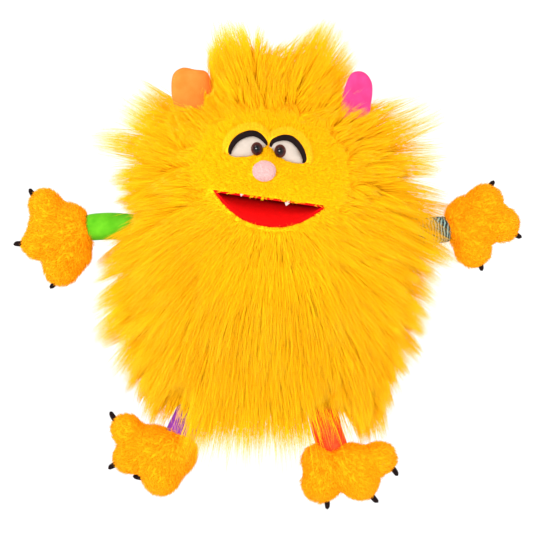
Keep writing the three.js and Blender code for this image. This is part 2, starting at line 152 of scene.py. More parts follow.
# ---- small helpers ----
def unit(vectors):
    vectors = np.asarray(vectors, float)
    return vectors / np.maximum(np.linalg.norm(vectors, axis=-1, keepdims=True), 1e-12)


def smooth(value, low, high):
    t = np.clip((np.asarray(value, float) - low) / (high - low), 0, 1)
    return t * t * (3 - 2 * t)


def mixed(a, b, share):
    return a + (b - a) * share


def stacked(*parts):
    """Points from their coordinates, each a number or an array."""
    return np.stack(np.broadcast_arrays(*parts), axis=-1)


def to_face(x, z):
    dx, dz = x - HINGE[0], z - HINGE[2]
    return dx * ROLL_COS - dz * ROLL_SIN, dx * ROLL_SIN + dz * ROLL_COS


def face_place(points):
    return to_face(points[..., 0], points[..., 2])


def from_face(u, v):
    return HINGE[0] + u * ROLL_COS + v * ROLL_SIN, HINGE[2] - u * ROLL_SIN + v * ROLL_COS


def curve_through(points, count, closed=False):
    """A smooth curve through the points, itself made of count points."""
    p = np.asarray(points, float)
    spans = len(p) if closed else len(p) - 1
    t = np.linspace(0, spans, count, endpoint=not closed)
    i = np.minimum(t.astype(int), spans - 1)
    f = (t - i)[:, None]

    def at(k):
        return p[k % len(p)] if closed else p[np.clip(k, 0, len(p) - 1)]

    a, b, c, d = at(i - 1), at(i), at(i + 1), at(i + 2)
    bend = (2 * a - 5 * b + 4 * c - d) * f**2 + (3 * b - a - 3 * c + d) * f**3
    return 0.5 * (2 * b + (c - a) * f + bend)


def full_turn(count):
    return np.linspace(0, 2 * math.pi, count, endpoint=False)


def steps(count, start=0, end=1):
    """A column of numbers from start to end."""
    return np.linspace(start, end, count)[:, None]


def middle(node):
    low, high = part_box(node)
    return np.array((Vector(low) + Vector(high)) / 2)


def placed(name, data):
    obj = bpy.data.objects.new(name, data)
    bpy.context.scene.collection.objects.link(obj)
    return obj


def placed_mesh(mesh, material):
    mesh.shade_smooth()
    mesh.materials.append(material)
    return placed(mesh.name, mesh)


def mesh_object(name, vertices, faces, material):
    mesh = bpy.data.meshes.new(name)
    mesh.from_pydata(np.asarray(vertices, float).reshape(-1, 3).tolist(), [], faces)
    mesh.validate()
    return placed_mesh(mesh, material)


def object_from(bm, name, material):
    """An object from edited faces, which are let go."""
    mesh = bpy.data.meshes.new(name)
    bm.to_mesh(mesh)
    bm.free()
    return placed_mesh(mesh, material)


def points_of(mesh):
    co = np.empty(len(mesh.vertices) * 3, np.float32)
    mesh.vertices.foreach_get("co", co)
    return co.reshape(-1, 3).astype(float)


def move_points(mesh, co):
    mesh.vertices.foreach_set("co", co.astype(np.float32).ravel())
    mesh.update()


def set_attribute(mesh, name, values):
    data = mesh.attributes.new(name, "FLOAT", "POINT")
    data.data.foreach_set("value", values.astype(np.float32))


def grid_faces(rows, columns, closed=False):
    faces = []
    for r in range(rows - 1):
        for c in range(columns if closed else columns - 1):
            n = (c + 1) % columns
            faces.append([r * columns + c, r * columns + n, (r + 1) * columns + n,
                          (r + 1) * columns + c])
    return faces


def tube_object(name, rings, material):
    """Rings of points joined into a skin with flat ends."""
    rows, columns = rings.shape[:2]
    faces = grid_faces(rows, columns, closed=True)
    faces += [list(range(columns))[::-1], list(range((rows - 1) * columns, rows * columns))]
    return mesh_object(name, rings, faces, material)


def domed_object(name, rings, tip, back, material):
    """Rings of points joined into a skin that a fan closes at each end."""
    rows, columns = rings.shape[:2]
    faces = grid_faces(rows, columns, closed=True)
    end, last = rows * columns, (rows - 1) * columns
    for c in range(columns):
        n = (c + 1) % columns
        faces += [[end, n, c], [end + 1, last + c, last + n]]
    return mesh_object(name, np.concatenate([rings.reshape(-1, 3), [tip, back]]), faces, material)


def sideways(way):
    """Two directions square to a way, the first of them in the plane seen from the front."""
    side = unit(np.cross(way, [0, 1, 0]))
    return side, np.cross(way, side)


def rings_round(line, side, across, size, flat=1.0):
    """Rings round a line, with a radius for each ring and each place round it."""
    turn = full_turn(size.shape[1])
    return (line + side * (size * np.cos(turn))[..., None]
            + across * (size * flat * np.sin(turn))[..., None])


def with_modifiers(obj):
    """The object with its modifiers made part of its mesh."""
    graph = bpy.context.evaluated_depsgraph_get()
    mesh = bpy.data.meshes.new_from_object(obj.evaluated_get(graph))
    obj.modifiers.clear()
    obj.data = mesh
    mesh.shade_smooth()
    return obj


def named(slot, nodes):
    """The piece's slot is not used; the CAD nodes that the piece stands for are hidden."""
    if nodes:
        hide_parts(*nodes)


def finished(obj, body, slot, *nodes):
    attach(obj, body)
    named(slot, nodes)


def padded(obj, body, slot, node):
    finished(obj, body, slot, node)


def blended(obj, bodies, start, end, slot, *nodes):
    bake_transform(obj)
    named(slot, nodes)


def bent_at_wrist(obj, slot, *nodes):
    """The piece's place is made part of its mesh, and the CAD nodes it stands for are hidden."""
    blended(obj, ("lower_sack", "head"), (0, 0, BEND_BELOW), (0, 0, BEND_ABOVE), slot, *nodes)


# ---- materials ----
def new_material(name, roughness, **inputs):
    material = bpy.data.materials.new(name)
    material.use_nodes = True
    shader = material.node_tree.nodes["Principled BSDF"]
    shader.inputs["Roughness"].default_value = roughness
    for socket, value in inputs.items():
        shader.inputs[socket.replace("_", " ")].default_value = value
    return material, material.node_tree, shader


def ramp(tree, source, stops):
    node = tree.nodes.new("ShaderNodeValToRGB")
    elements = node.color_ramp.elements
    while len(elements) < len(stops):
        elements.new(0.5)
    for element, (place, colour) in zip(elements, stops):
        element.position = place
        element.color = (*colour, 1)
    tree.links.new(source, node.inputs["Fac"])
    return node.outputs["Color"]


def attribute(tree, name):
    node = tree.nodes.new("ShaderNodeAttribute")
    node.attribute_name = name
    return node.outputs["Fac"]


def multiplied(tree, first, second):
    node = tree.nodes.new("ShaderNodeMix")
    node.data_type = "RGBA"
    node.blend_type = "MULTIPLY"
    node.inputs["Factor"].default_value = 1
    tree.links.new(first, node.inputs[6])
    tree.links.new(second, node.inputs[7])
    return node.outputs[2]


def noise(tree, scale, detail=4.0):
    place = tree.nodes.new("ShaderNodeTexCoord")
    node = tree.nodes.new("ShaderNodeTexNoise")
    node.inputs["Scale"].default_value = scale
    node.inputs["Detail"].default_value = detail
    tree.links.new(place.outputs["Object"], node.inputs["Vector"])
    return node.outputs["Fac"]


def coloured(tree, shader, source, stops):
    tree.links.new(ramp(tree, source, stops), shader.inputs["Base Color"])


def strand_material(name, root, mid, tip, dark=(0.94, 0.80, 0.5), light=(1, 1.05, 1.3)):
    """Hair coloured along its length, darker at the root as painted shade and lighter at the tip as
    a painted highlight, and from strand to strand.
    """
    material, tree, shader = new_material(name, 0.7, Specular_IOR_Level=0.08)
    # painted shade at the root and a painted highlight at the tip, along each strand
    along = ramp(tree, attribute(tree, "along"),
                 [(0, root), (0.4, mid), (0.8, mid), (1, tip)])
    tone = ramp(tree, attribute(tree, "tone"), [(0, dark), (0.55, (1, 1, 1)), (1, light)])
    tree.links.new(multiplied(tree, along, tone), shader.inputs["Base Color"])
    return material


def cloth_material(name, dark, light, scale=180.0, bump=0.25, roughness=0.9, **inputs):
    """Felt, velour or woven cloth: mottled, with a fine raised texture."""
    material, tree, shader = new_material(name, roughness, Specular_IOR_Level=0.1, **inputs)
    coloured(tree, shader, noise(tree, scale), [(0.3, dark), (0.7, light)])
    if bump:
        raised = tree.nodes.new("ShaderNodeBump")
        raised.inputs["Strength"].default_value = bump
        raised.inputs["Distance"].default_value = 0.001
        tree.links.new(noise(tree, scale * 8, 2), raised.inputs["Height"])
        tree.links.new(raised.outputs["Normal"], shader.inputs["Normal"])
    return material


def printed_material(name):
    """Dark teal cloth with a wavy printed pattern."""
    material, tree, shader = new_material(name, 0.85, Specular_IOR_Level=0.2)
    place = tree.nodes.new("ShaderNodeTexCoord")
    wave = tree.nodes.new("ShaderNodeTexWave")
    wave.inputs["Scale"].default_value = 130
    wave.inputs["Distortion"].default_value = 9
    wave.inputs["Detail"].default_value = 3
    tree.links.new(place.outputs["Object"], wave.inputs["Vector"])
    coloured(tree, shader, wave.outputs["Fac"],
             [(0.35, (0.005, 0.012, 0.016)), (0.55, (0.02, 0.10, 0.09)), (0.8, (0.22, 0.33, 0.30))])
    return material


def pupil_material(name):
    """Glossy plastic: black in the middle, brown round it."""
    material, tree, shader = new_material(name, 0.05, Specular_IOR_Level=0.18)
    coloured(tree, shader, attribute(tree, "ring"),
             [(0.30, (0.001, 0.001, 0.001)), (0.65, (0.022, 0.003, 0.002)),
              (1, (0.085, 0.011, 0.004))])
    return material


# Each strand material: colours at the root, the middle and the tip, then the darkest and lightest
# tone from strand to strand. The darker root is painted shade in the pile's depths, and the lighter
# tip is a painted highlight.
PILE = strand_material("long_pile_strands", (1.0, 0.50, 0.001), (1.0, 0.555, 0.002),
                       (1.0, 0.64, 0.03), (0.99, 0.88, 0.6), (1, 1.12, 2.5))
FACE_PILE = strand_material("face_pile_strands", (1.0, 0.54, 0.001), (1.0, 0.59, 0.001),
                            (1.0, 0.62, 0.004), (0.99, 0.95, 0.8), (1, 1.04, 1.2))
LID_PILE = strand_material("eyelid_strands", (1.0, 0.56, 0.006), (1.0, 0.62, 0.012),
                           (1.0, 0.66, 0.018), (0.98, 0.95, 0.9), (1, 1.03, 1.2))
PAW_PILE = strand_material("paw_pile_strands", (1.0, 0.36, 0.001), (1.0, 0.38, 0.001),
                           (1.0, 0.395, 0.001), (0.99, 0.95, 0.8), (1, 1.05, 1.2))
# The mouth strands' lighter tones are given to those deep in the mouth, as painted light against
# the shade there.
MOUTH_PILE = strand_material("mouth_strands", (0.60, 0.001, 0.001), (0.66, 0.001, 0.001),
                             (0.70, 0.002, 0.001), (0.86, 0.8, 0.8), (1.35, 1.2, 1.2))
NOSE_PILE = strand_material("nose_strands", (0.72, 0.43, 0.41), (0.76, 0.49, 0.475),
                            (0.78, 0.52, 0.50), (0.98, 0.95, 0.95), (1, 1.02, 1.02))
BACKING = cloth_material("pile_backing", (0.98, 0.46, 0.002), (1.0, 0.52, 0.004), 60, 0)
LID = cloth_material("lid_plush", (0.96, 0.42, 0.005), (0.98, 0.46, 0.008), 60, 0)
PAW_BACKING = cloth_material("paw_backing", (0.98, 0.33, 0.001), (1.0, 0.36, 0.002), 60, 0)
LINING = cloth_material("lining_cloth", (0.62, 0.40, 0.10), (0.72, 0.50, 0.15), 400)
BOARD = cloth_material("board_plastic", (0.030, 0.030, 0.032), (0.045, 0.045, 0.05), 60, 0.1, 0.5)
MOUTH = cloth_material("mouth_plush", (0.62, 0.001, 0.001), (0.70, 0.002, 0.002), 120)
WADDING = cloth_material("wadding", (0.80, 0.79, 0.76), (0.90, 0.89, 0.87), 90)
NOSE = cloth_material("nose_plush", (0.72, 0.44, 0.42), (0.78, 0.50, 0.48), 150)
EYE = cloth_material("eye_felt", (0.41, 0.345, 0.29), (0.445, 0.375, 0.32), 260, 0.3)
TRIM = cloth_material("black_felt", (0.005, 0.002, 0.002), (0.011, 0.004, 0.004), 350, 0.4)
TOOTH = cloth_material("tooth_felt", (0.50, 0.45, 0.40), (0.56, 0.52, 0.47), 260, 0.15)
ORANGE = cloth_material("ear_orange", (0.78, 0.155, 0.018), (0.84, 0.195, 0.032), 110, 0.3)
PINK = cloth_material("ear_pink", (0.78, 0.026, 0.130), (0.84, 0.042, 0.185), 110, 0.3)
GREEN = cloth_material("green_plush", (0.07, 0.35, 0.006), (0.11, 0.44, 0.012), 140)
PURPLE = cloth_material("purple_plush", (0.15, 0.02, 0.22), (0.27, 0.045, 0.36), 140)
RED = cloth_material("red_plush", (0.80, 0.03, 0.005), (0.92, 0.07, 0.02), 140)
TEAL = printed_material("teal_print")
WASHER = cloth_material("washer_plastic", (0.75, 0.75, 0.73), (0.80, 0.80, 0.78), 40, 0.05, 0.4)
PUPIL = pupil_material("pupil_plastic")


# ---- the sack's surface ----
def sack_grid(rows, columns):
    """Points and outward normals of the firm surface of the pile, and a row of angles."""
    profile = curve_through(SACK_OUTLINE, rows)
    angle = np.linspace(-math.pi, math.pi, columns, endpoint=False)
    r, z = profile[:, 0][:, None], profile[:, 1][:, None]
    points = stacked(r * np.sin(angle), -SACK_FLATNESS * r * np.cos(angle), z)
    down = np.gradient(points, axis=0)
    around = (np.roll(points, -1, axis=1) - np.roll(points, 1, axis=1)) / 2
    return points, unit(np.cross(around, down))


def face_weight(x, y, z):
    """1 on the short-haired face, 0 well away from it."""
    return (1 - smooth(face_distance(x, z), 0.95, 1.7)) * (y < 0)


def face_distance(x, z):
    u, v = to_face(x, z)
    return np.hypot((u - FACE_CENTRE[0]) / FACE_RADII[0], (v - FACE_CENTRE[1]) / FACE_RADII[1])


def cloth_grid(rows, columns):
    """The sack's cloth, under its pile."""
    points, normals = sack_grid(rows, columns)
    x, y, z = points[..., 0], points[..., 1], points[..., 2]
    depth = mixed(0.004, PILE_DEPTH, smooth(z, 0, 0.06))
    depth = mixed(depth, CROWN_PILE_DEPTH, smooth(z, 0.225, 0.285))
    depth = mixed(depth, FACE_RISE, face_weight(x, y, z))
    return points - normals * depth[..., None]


CLOTH = cloth_grid(121, 168)
CLOTH_FACES = grid_faces(*CLOTH.shape[:2], closed=True)
CLOTH_TREE = BVHTree.FromPolygons(CLOTH.reshape(-1, 3).tolist(), CLOTH_FACES)


def front_y(x, z):
    """How far forward the sack's cloth is, seen from the front."""
    x, z = np.broadcast_arrays(np.asarray(x, float), np.asarray(z, float))
    found = []
    for a, b in zip(x.ravel(), z.ravel()):
        hit = CLOTH_TREE.ray_cast(Vector((a, -1, b)), Vector((0, 1, 0)))[0]
        found.append(hit.y if hit else 0.0)
    return np.array(found).reshape(x.shape)


def lower_lip(u):
    return -LOWER_LIP_DROP * (1 - np.abs(np.clip(u / LIP_HALF_WIDTH, -1, 1)) ** LIP_CURVE)


def slot_radius(u, v):
    """Under 1 inside the jaw's room in the coat."""
    return np.hypot(u / SLOT[0], np.minimum(v, 0) / SLOT[1]) + (v > UPPER_LIP_V) * 2


def add_coat_cloth():
    """The sack's cloth, turned in round the mouth and open between the lips."""
    coat = mesh_object("coat_cloth", CLOTH, CLOTH_FACES, BACKING)
    cut_mouth(coat.data)
    co = points_of(coat.data)
    u, v = face_place(co)
    inward = 1 - smooth(np.hypot(u / SLOT[0], v / SLOT[1]), 0.8, 1.0)
    inward *= (v < UPPER_LIP_V - 1e-5) & (co[:, 1] < 0)
    co[:, 1] += inward * SLOT_DEPTH
    move_points(coat.data, co)
    bent_at_wrist(coat, "long_pile", "lower_coat", "head_coat")


def cut_mouth(mesh):
    """Opens the cloth between the lips, along straight edges."""
    bm = bmesh.new()
    bm.from_mesh(mesh)
    x, z = from_face(0, UPPER_LIP_V)
    lip = Vector((x, 0, z))
    up = Vector((ROLL_SIN, 0, ROLL_COS))
    across = Vector((ROLL_COS, 0, -ROLL_SIN))
    half = LIP_HALF_WIDTH + 0.0005
    for place, normal in ((lip, up), (lip + across * half, across), (lip - across * half, across)):
        near = [f for f in bm.faces
                if f.calc_center_median().y < 0 and abs(f.calc_center_median().z - z) < 0.07]
        geometry = near + list({e for f in near for e in f.edges})
        geometry += list({p for f in near for p in f.verts})
        bmesh.ops.bisect_plane(bm, geom=geometry, plane_co=place, plane_no=normal)
    inside = []
    for face in bm.faces:
        centre = face.calc_center_median()
        u, v = to_face(centre.x, centre.z)
        if centre.y < 0 and abs(u) < half and -SLOT[1] * 0.9 < v < UPPER_LIP_V:
            inside.append(face)
    bmesh.ops.delete(bm, geom=inside, context="FACES")
    bm.to_mesh(mesh)
    bm.free()


def chin_point(u, v):
    """A place on the chin's cloth, whose edge is tucked in behind the coat's."""
    x, z = from_face(u, v)
    y = front_y(x, z)
    tuck = smooth(np.abs(u), 0.047, 0.056) + smooth(-v, 0.046, 0.058)
    return stacked(x, y + 0.003 * np.clip(tuck, 0, 1), z)


def chin_depth():
    return float(front_y(*from_face(0, CHIN_TO)))


def hung_on_jaw(obj, slot, start_v, end_v, y, *nodes):
    """The piece's place is made part of its mesh, and the CAD nodes it stands for are hidden."""
    (start_x, start_z), (end_x, end_z) = from_face(0, start_v), from_face(0, end_v)
    blended(obj, ("head", "jaw"), (start_x, y, start_z), (end_x, y, end_z), slot, *nodes)


def add_chin_cloth():
    """The cloth below the lower lip, between the head and the jaw."""
    columns, rows = 61, 24
    u = np.linspace(-SLOT[0], SLOT[0], columns)[None, :]
    bottom = -CHIN_BOTTOM * np.sqrt(np.clip(1 - (u / (SLOT[0] * 1.04)) ** 2, 0, 1))
    beside = smooth(np.abs(u), LIP_HALF_WIDTH, LIP_HALF_WIDTH + 0.002)
    top = lower_lip(u) + CHIN_OVERLAP * beside
    v = mixed(top, np.minimum(bottom, top - 0.0005), steps(rows))
    chin = mesh_object("chin_cloth", chin_point(u, v), grid_faces(rows, columns), BACKING)
    hung_on_jaw(chin, "short_pile", CHIN_FROM, CHIN_TO, chin_depth(), "chin_coat")


# ---- the mouth ----
def lining_points(u, back, edge_v, hinge_v, behind_lip):
    """A mouth lining: from the hinge (back 0) to the lip (back 1)."""
    x_lip, z_lip = from_face(u, edge_v(u))
    y_lip = front_y(x_lip, z_lip) + behind_lip
    x_hinge, z_hinge = from_face(u, hinge_v)
    y = mixed(HINGE[1], y_lip, back)
    rise = back ** LINING_SWELL
    return stacked(mixed(x_hinge, x_lip, rise), y, mixed(z_hinge, z_lip, rise))


def add_lining(name, body, edge_v, hinge_v, thickness, behind_lip, node):
    columns, rows = 41, 30
    u = np.linspace(-LIP_HALF_WIDTH, LIP_HALF_WIDTH, columns)[None, :] * 0.999
    points = lining_points(u, steps(rows), edge_v, hinge_v, behind_lip)
    lining = mesh_object(name, points, grid_faces(rows, columns), MOUTH)
    skin = lining.modifiers.new("thickness", "SOLIDIFY")
    skin.thickness = abs(thickness)
    skin.offset = math.copysign(1, thickness)
    with_modifiers(lining)
    finished(lining, body, "mouth_plush", node)


def add_gussets():
    """The red cloth at the mouth's sides."""
    rows, columns = 4, 24
    back = np.linspace(0, 1, columns)
    vertices, faces = [], []
    for side in (-1, 1):
        u = side * (LIP_HALF_WIDTH - 0.0006)
        x, z = from_face(u, mixed(UPPER_LIP_V, -HINGE_GAP, steps(rows)))
        y = mixed(HINGE[1], float(front_y(x[0, 0], z[0, 0])) + 0.001, back)
        faces += [[i + len(vertices) for i in face] for face in grid_faces(rows, columns)]
        vertices += stacked(x, y, z).reshape(-1, 3).tolist()
    gussets = mesh_object("mouth_gussets", vertices, faces, MOUTH)
    hung_on_jaw(gussets, "mouth_plush", UPPER_LIP_V, -HINGE_GAP, 0)


# ---- strands of pile ----
def strand_paths(roots, normals, combs, lengths, lift, settle, rings=5, stray=0.12):
    """Each strand stands up a little from the cloth and then lies the way it is combed."""
    count = len(roots)
    first = unit(normals * lift + combs * (1 - lift * 0.6))
    last = unit(combs + normals * settle)
    stray_way = rng.normal(0, 1, (count, 3)) * stray
    wave = rng.uniform(0, 2 * math.pi, (count, 1))
    side = unit(np.cross(first, rng.normal(0, 1, (count, 3))))
    paths = np.empty((count, rings + 1, 3))
    paths[:, 0] = roots
    for k in range(rings):
        share = smooth(k + 0.5, 0, rings)
        way = unit(mixed(first, last, share) + stray_way * (0.4 + share))
        way = unit(way + side * 0.09 * np.sin(wave + k * 1.1))
        paths[:, k + 1] = paths[:, k] + way * (lengths / rings)[:, None]
    return paths


def gathered(paths, tufts, pull, share=1.0):
    """Draws each strand towards its tuft's middle strand, most at the tip."""
    count, rings = paths.shape[:2]
    centres = rng.choice(count, min(tufts, count), replace=False)
    tree = KDTree(len(centres))
    for i, centre in enumerate(centres):
        tree.insert(paths[centre, 0], i)
    tree.balance()
    nearest = np.array([tree.find(root)[1] for root in paths[:, 0].tolist()])
    strength = (rng.uniform(*pull, len(centres))[nearest] * share)[:, None, None]
    along = (np.arange(rings) / (rings - 1))[None, :, None] ** 1.3
    paths = mixed(paths, paths[centres[nearest]], strength * along)
    return paths, rng.random(len(centres))[nearest]


def strand_mesh(name, paths, widths, tones, material):
    """Three-sided tapering strands, in one piece, of one width or of a width each."""
    count, rings = paths.shape[0], paths.shape[1] - 1
    tangents = unit(np.gradient(paths, axis=1))
    reference = unit(rng.normal(0, 1, (count, 1, 3)))
    side = unit(np.cross(tangents, reference))
    across = np.cross(tangents, side)
    along = np.arange(rings + 1) / rings
    taper = (0.75 + 0.25 * np.sin(math.pi * np.minimum(along * 1.5, 1))) * (1 - along**1.6)
    radius = np.broadcast_to(widths / 2, count)[:, None] * taper[None, :]
    corners = np.arange(3) * 2 * math.pi / 3
    rim = (side[:, :rings, None] * np.cos(corners)[None, None, :, None]
           + across[:, :rings, None] * np.sin(corners)[None, None, :, None])
    tube = paths[:, :rings, None] + rim * radius[:, :rings, None, None]
    per_strand = rings * 3 + 1
    vertices = np.concatenate([tube.reshape(count, rings * 3, 3), paths[:, -1:]], axis=1)
    faces, where = [[0, 2, 1]], [[(0, 0), (1, 0), (0.5, 0)]]
    for k in range(rings):
        for j in range(3):
            n = (j + 1) % 3
            low, high = along[k], along[k + 1]
            left, right = j / 3, (j + 1) / 3
            a, b = k * 3 + j, k * 3 + n
            if k == rings - 1:
                faces.append([a, b, rings * 3])
                where.append([(left, low), (right, low), ((left + right) / 2, high)])
            else:
                faces += [[a, b, b + 3], [a, b + 3, a + 3]]
                where += [[(left, low), (right, low), (right, high)],
                          [(left, low), (right, high), (left, high)]]
    faces, where = np.array(faces), np.array(where, float)
    all_faces = (faces[None] + (np.arange(count) * per_strand)[:, None, None]).reshape(-1, 3)
    mesh = bpy.data.meshes.new(name)
    mesh.from_pydata(vertices.reshape(-1, 3), [], all_faces)
    column = np.clip((tones * TONES).astype(int), 0, TONES - 1)
    uv = np.broadcast_to(where[None], (count, *where.shape)).copy()
    uv[..., 0] = (column[:, None, None] + 0.1 + 0.8 * uv[..., 0]) / TONES
    layer = mesh.uv_layers.new(name="OFBake")
    layer.data.foreach_set("uv", uv.astype(np.float32).ravel())
    vertex_along = np.append(np.repeat(along[:rings], 3), 1.0)
    set_attribute(mesh, "along", np.tile(vertex_along, count))
    set_attribute(mesh, "tone", np.repeat((column + 0.5) / TONES, per_strand))
    return placed_mesh(mesh, material)


def sample_surface(points, faces, count, density):
    """Random places on a mesh, with their normals; density gives each triangle's share."""
    faces = np.asarray(faces)
    if faces.shape[1] == 4:
        faces = np.concatenate([faces[:, [0, 1, 2]], faces[:, [0, 2, 3]]])
    a, b, c = points[faces[:, 0]], points[faces[:, 1]], points[faces[:, 2]]
    cross = np.cross(b - a, c - a)
    area = np.linalg.norm(cross, axis=1) / 2
    weight = area * density((a + b + c) / 3)
    chosen = rng.choice(len(faces), count, p=weight / weight.sum())
    p, q = rng.random(count), rng.random(count)
    flip = p + q > 1
    p, q = np.where(flip, 1 - p, p)[:, None], np.where(flip, 1 - q, q)[:, None]
    return a[chosen] + (b - a)[chosen] * p + (c - a)[chosen] * q, unit(cross[chosen])


def sample_mesh(mesh, count, density):
    mesh.calc_loop_triangles()
    triangles = np.array([t.vertices for t in mesh.loop_triangles])
    return sample_surface(points_of(mesh), triangles, count, density)


def sample_cloth(count, density):
    return sample_surface(CLOTH.reshape(-1, 3), CLOTH_FACES, count, density)


def facing_front(normals):
    return normals * np.sign(-normals[:, 1])[:, None]


def amount(count):
    return count


def widened(width):
    return width * 1


def comb_from_face(points):
    """The pile's way: out from the face, seen from the front or the back."""
    way = points[:, [0, 2]] - RADIAL_FROM
    swirl = 0.14 * np.sin(points[:, 0] * 55 + points[:, 2] * 38) + rng.normal(0, 0.06, len(points))
    angle = np.arctan2(way[:, 1], way[:, 0]) + swirl
    combs = stacked(np.cos(angle), 0.0, np.sin(angle))
    combs[:, 2] -= smooth(points[:, 1], 0.0, 0.05) * 0.5  # the back's pile lies downwards
    combs[:, 2] -= 0.9 * (1 - smooth(points[:, 2], 0.02, 0.10))  # the lowest pile hangs
    beside = mixed(0.16, 0.06, smooth(points[:, 0], *PARTING))
    combs[:, 0] += near_top(points[:, 2]) * beside
    return unit(combs)


def eye_distance(x, z):
    """Distance outside either eye's white, or the nose, in metres, roughly."""
    nose = middle("nose_ball") + NOSE_SHIFT
    far = np.hypot(x - nose[0], z - nose[2]) - NOSE_RADII[0] * 0.9
    for side in EYES:
        centre = eye_centre(side)
        offset = stacked(x, z) - centre
        size = outline_reach(offset, eye_outline(side))
        far = np.minimum(far, np.hypot(*offset.T) - size)
    return far


# Longer or shorter pile down each side: heights, and the change there.
LEFT_SIDE = [0.05, 0.12, 0.14, 0.17, 0.19, 0.21, 0.24], [1.02, 1.0, 0.86, 0.72, 0.72, 1.08, 1.1]
RIGHT_SIDE = [0.05, 0.12, 0.14, 0.155, 0.168, 0.18, 0.21], [1.0, 0.9, 1.05, 1.4, 1.3, 1.0, 1.5]


def near_top(z):
    return smooth(z, 0.235, 0.265)


def crown_share(z):
    return smooth(z, 0.25, 0.275)


def beside_parting(x):
    """0 at the crown's parting, 1 well beside it."""
    return smooth(np.abs(x - PARTING_X), 0.004, 0.022)


def pile_length(x, y, z):
    """Short on the face, and shorter on the parting, by the ears and at the lower corners."""
    length = mixed(FACE_PILE_LENGTH, PILE_LENGTH, smooth(face_distance(x, z), 1.02, 1.95))
    length = np.where(y > 0, PILE_LENGTH, length)
    beside = beside_parting(x)
    length *= 1 - 0.72 * (1 - beside) * near_top(z)
    length *= 1 + 0.04 * crown_share(z) * beside
    by_left_ear = 1 - smooth(np.abs(x + 0.058), 0.016, 0.036)
    by_right_ear = 1 - smooth(np.abs(x - 0.062), 0.010, 0.030)
    length *= 1 - (0.5 * by_left_ear + 0.25 * by_right_ear) * smooth(z, 0.235, 0.25)
    corner = smooth(np.abs(x), 0.05, 0.09) * (1 - smooth(z, 0.02, 0.09))
    length *= 1 - 0.35 * corner
    change = np.where(x < 0, np.interp(z, *LEFT_SIDE), np.interp(z, *RIGHT_SIDE))
    return length * mixed(1, change, smooth(np.abs(x), 0.06, 0.09))


def coat_density(centres):
    """None on the face or in the jaw's room, less on the crown and back, more on the whorl."""
    x, y, z = centres.T
    bare = ((face_distance(x, z) < 1.0) | (slot_radius(*to_face(x, z)) < 0.99)) & (y < 0)
    thick = mixed(1.0, mixed(0.4, 0.75, beside_parting(x)), crown_share(z))
    thick *= mixed(0.5, 1.0, smooth(-y, -0.02, 0.03))
    whorl = 1 - smooth(np.hypot(x - RADIAL_FROM[0], z - RADIAL_FROM[1]), 0.008, 0.03)
    return np.where(bare, 0.0, thick + 2.0 * whorl * (y > 0))


# What the long pile leaves in view: x, z and half-sizes in metres, and the share of the
# strands that would cross it which stop short of it.
CLEARINGS = [
    (-0.061, 0.264, 0.017, 0.016, 0.94),
    (0.076, 0.257, 0.012, 0.017, 0.94),
    (-0.126, 0.148, 0.017, 0.012, 0.95),
    (-0.069, -0.007, 0.012, 0.016, 0.88),
    (0.048, -0.013, 0.016, 0.016, 0.85),
]


def left_in_view(roots, combs, lengths):
    """Lengths cut so that most strands stop short of the ears and the limbs."""
    for x, z, half_x, half_z, share in CLEARINGS:
        start = (roots[:, [0, 2]] - [x, z]) / [half_x, half_z]
        way = combs[:, [0, 2]] / [half_x, half_z]
        a = np.sum(way * way, axis=1)
        b = np.sum(start * way, axis=1)
        c = np.sum(start * start, axis=1) - 1
        inside = b * b - a * c
        reach = (-b - np.sqrt(np.maximum(inside, 0))) / np.maximum(a, 1e-9)
        crossing = (inside > 0) & ((reach > 0) | (c < 0)) & (rng.random(len(roots)) < share)
        lengths = np.where(crossing, np.clip(reach, 0.002, lengths), lengths)
    return lengths


def trimmed_to_room(paths):
    """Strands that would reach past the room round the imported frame, made shorter."""
    spare = 0.007 + 0.03 * (np.array(cad_high) - np.array(cad_low))
    low, high = np.array(cad_low) - spare, np.array(cad_high) + spare
    roots = paths[:, :1]
    over = (paths - roots) / np.where(paths > roots, high - roots, low - roots)
    over = over.max(axis=(1, 2)) * rng.uniform(1.0, 1.25, len(paths))
    return roots + (paths - roots) / np.maximum(over, 1)[:, None, None]


def add_long_pile():
    """The coat's long pile, drawn into tufts and locks and cut into pieces round the sack."""
    roots, normals = sample_cloth(amount(LONG_STRANDS), coat_density)
    normals *= np.sign(np.sum(normals * (roots - [0, 0, 0.14]), axis=1))[:, None]
    lengths = pile_length(*roots.T) * rng.triangular(0.45, 0.88, 1.28, len(roots))
    ragged = np.maximum(1 - smooth(roots[:, 2], 0.02, 0.07), smooth(roots[:, 2], 0.25, 0.28))
    lengths *= mixed(1, rng.uniform(0.62, 1.10, len(roots)), ragged)
    combs = comb_from_face(roots)
    reach = np.minimum(lengths / PILE_LENGTH, 1)
    lengths = left_in_view(roots, combs, lengths)
    lift = mixed(0.75, 0.5, reach)[:, None]
    paths = strand_paths(roots, normals, combs, lengths, lift, 0.08, stray=0.07)
    loose = mixed(1.0, 0.45, smooth(np.abs(normals[:, 1]), 0.45, 0.85))
    paths, tuft = gathered(paths, len(roots) // COAT_TUFT, (0.1, 0.7), loose)
    paths, lock = gathered(paths, len(roots) // COAT_LOCK, (0.2, 0.8), loose)
    drift = 0.5 + 0.25 * np.sin(90 * roots[:, 0] + 2) + 0.25 * np.sin(70 * roots[:, 2] + 1)
    tones = 0.15 * tuft + 0.4 * lock + 0.25 * drift + 0.2 * rng.random(len(roots))
    widths = widened(LONG_WIDTH) * rng.uniform(0.7, 1.2, len(roots))
    paths = trimmed_to_room(paths)
    order = np.argsort(np.arctan2(roots[:, 0], -roots[:, 1]), kind="stable")
    pieces = math.ceil(len(order) / STRANDS_PER_PIECE)
    for i, part in enumerate(np.array_split(order, pieces)):
        piece = strand_mesh(f"coat_pile_{i + 1}", paths[part], widths[part], tones[part], PILE)
        bent_at_wrist(piece, "long_pile")


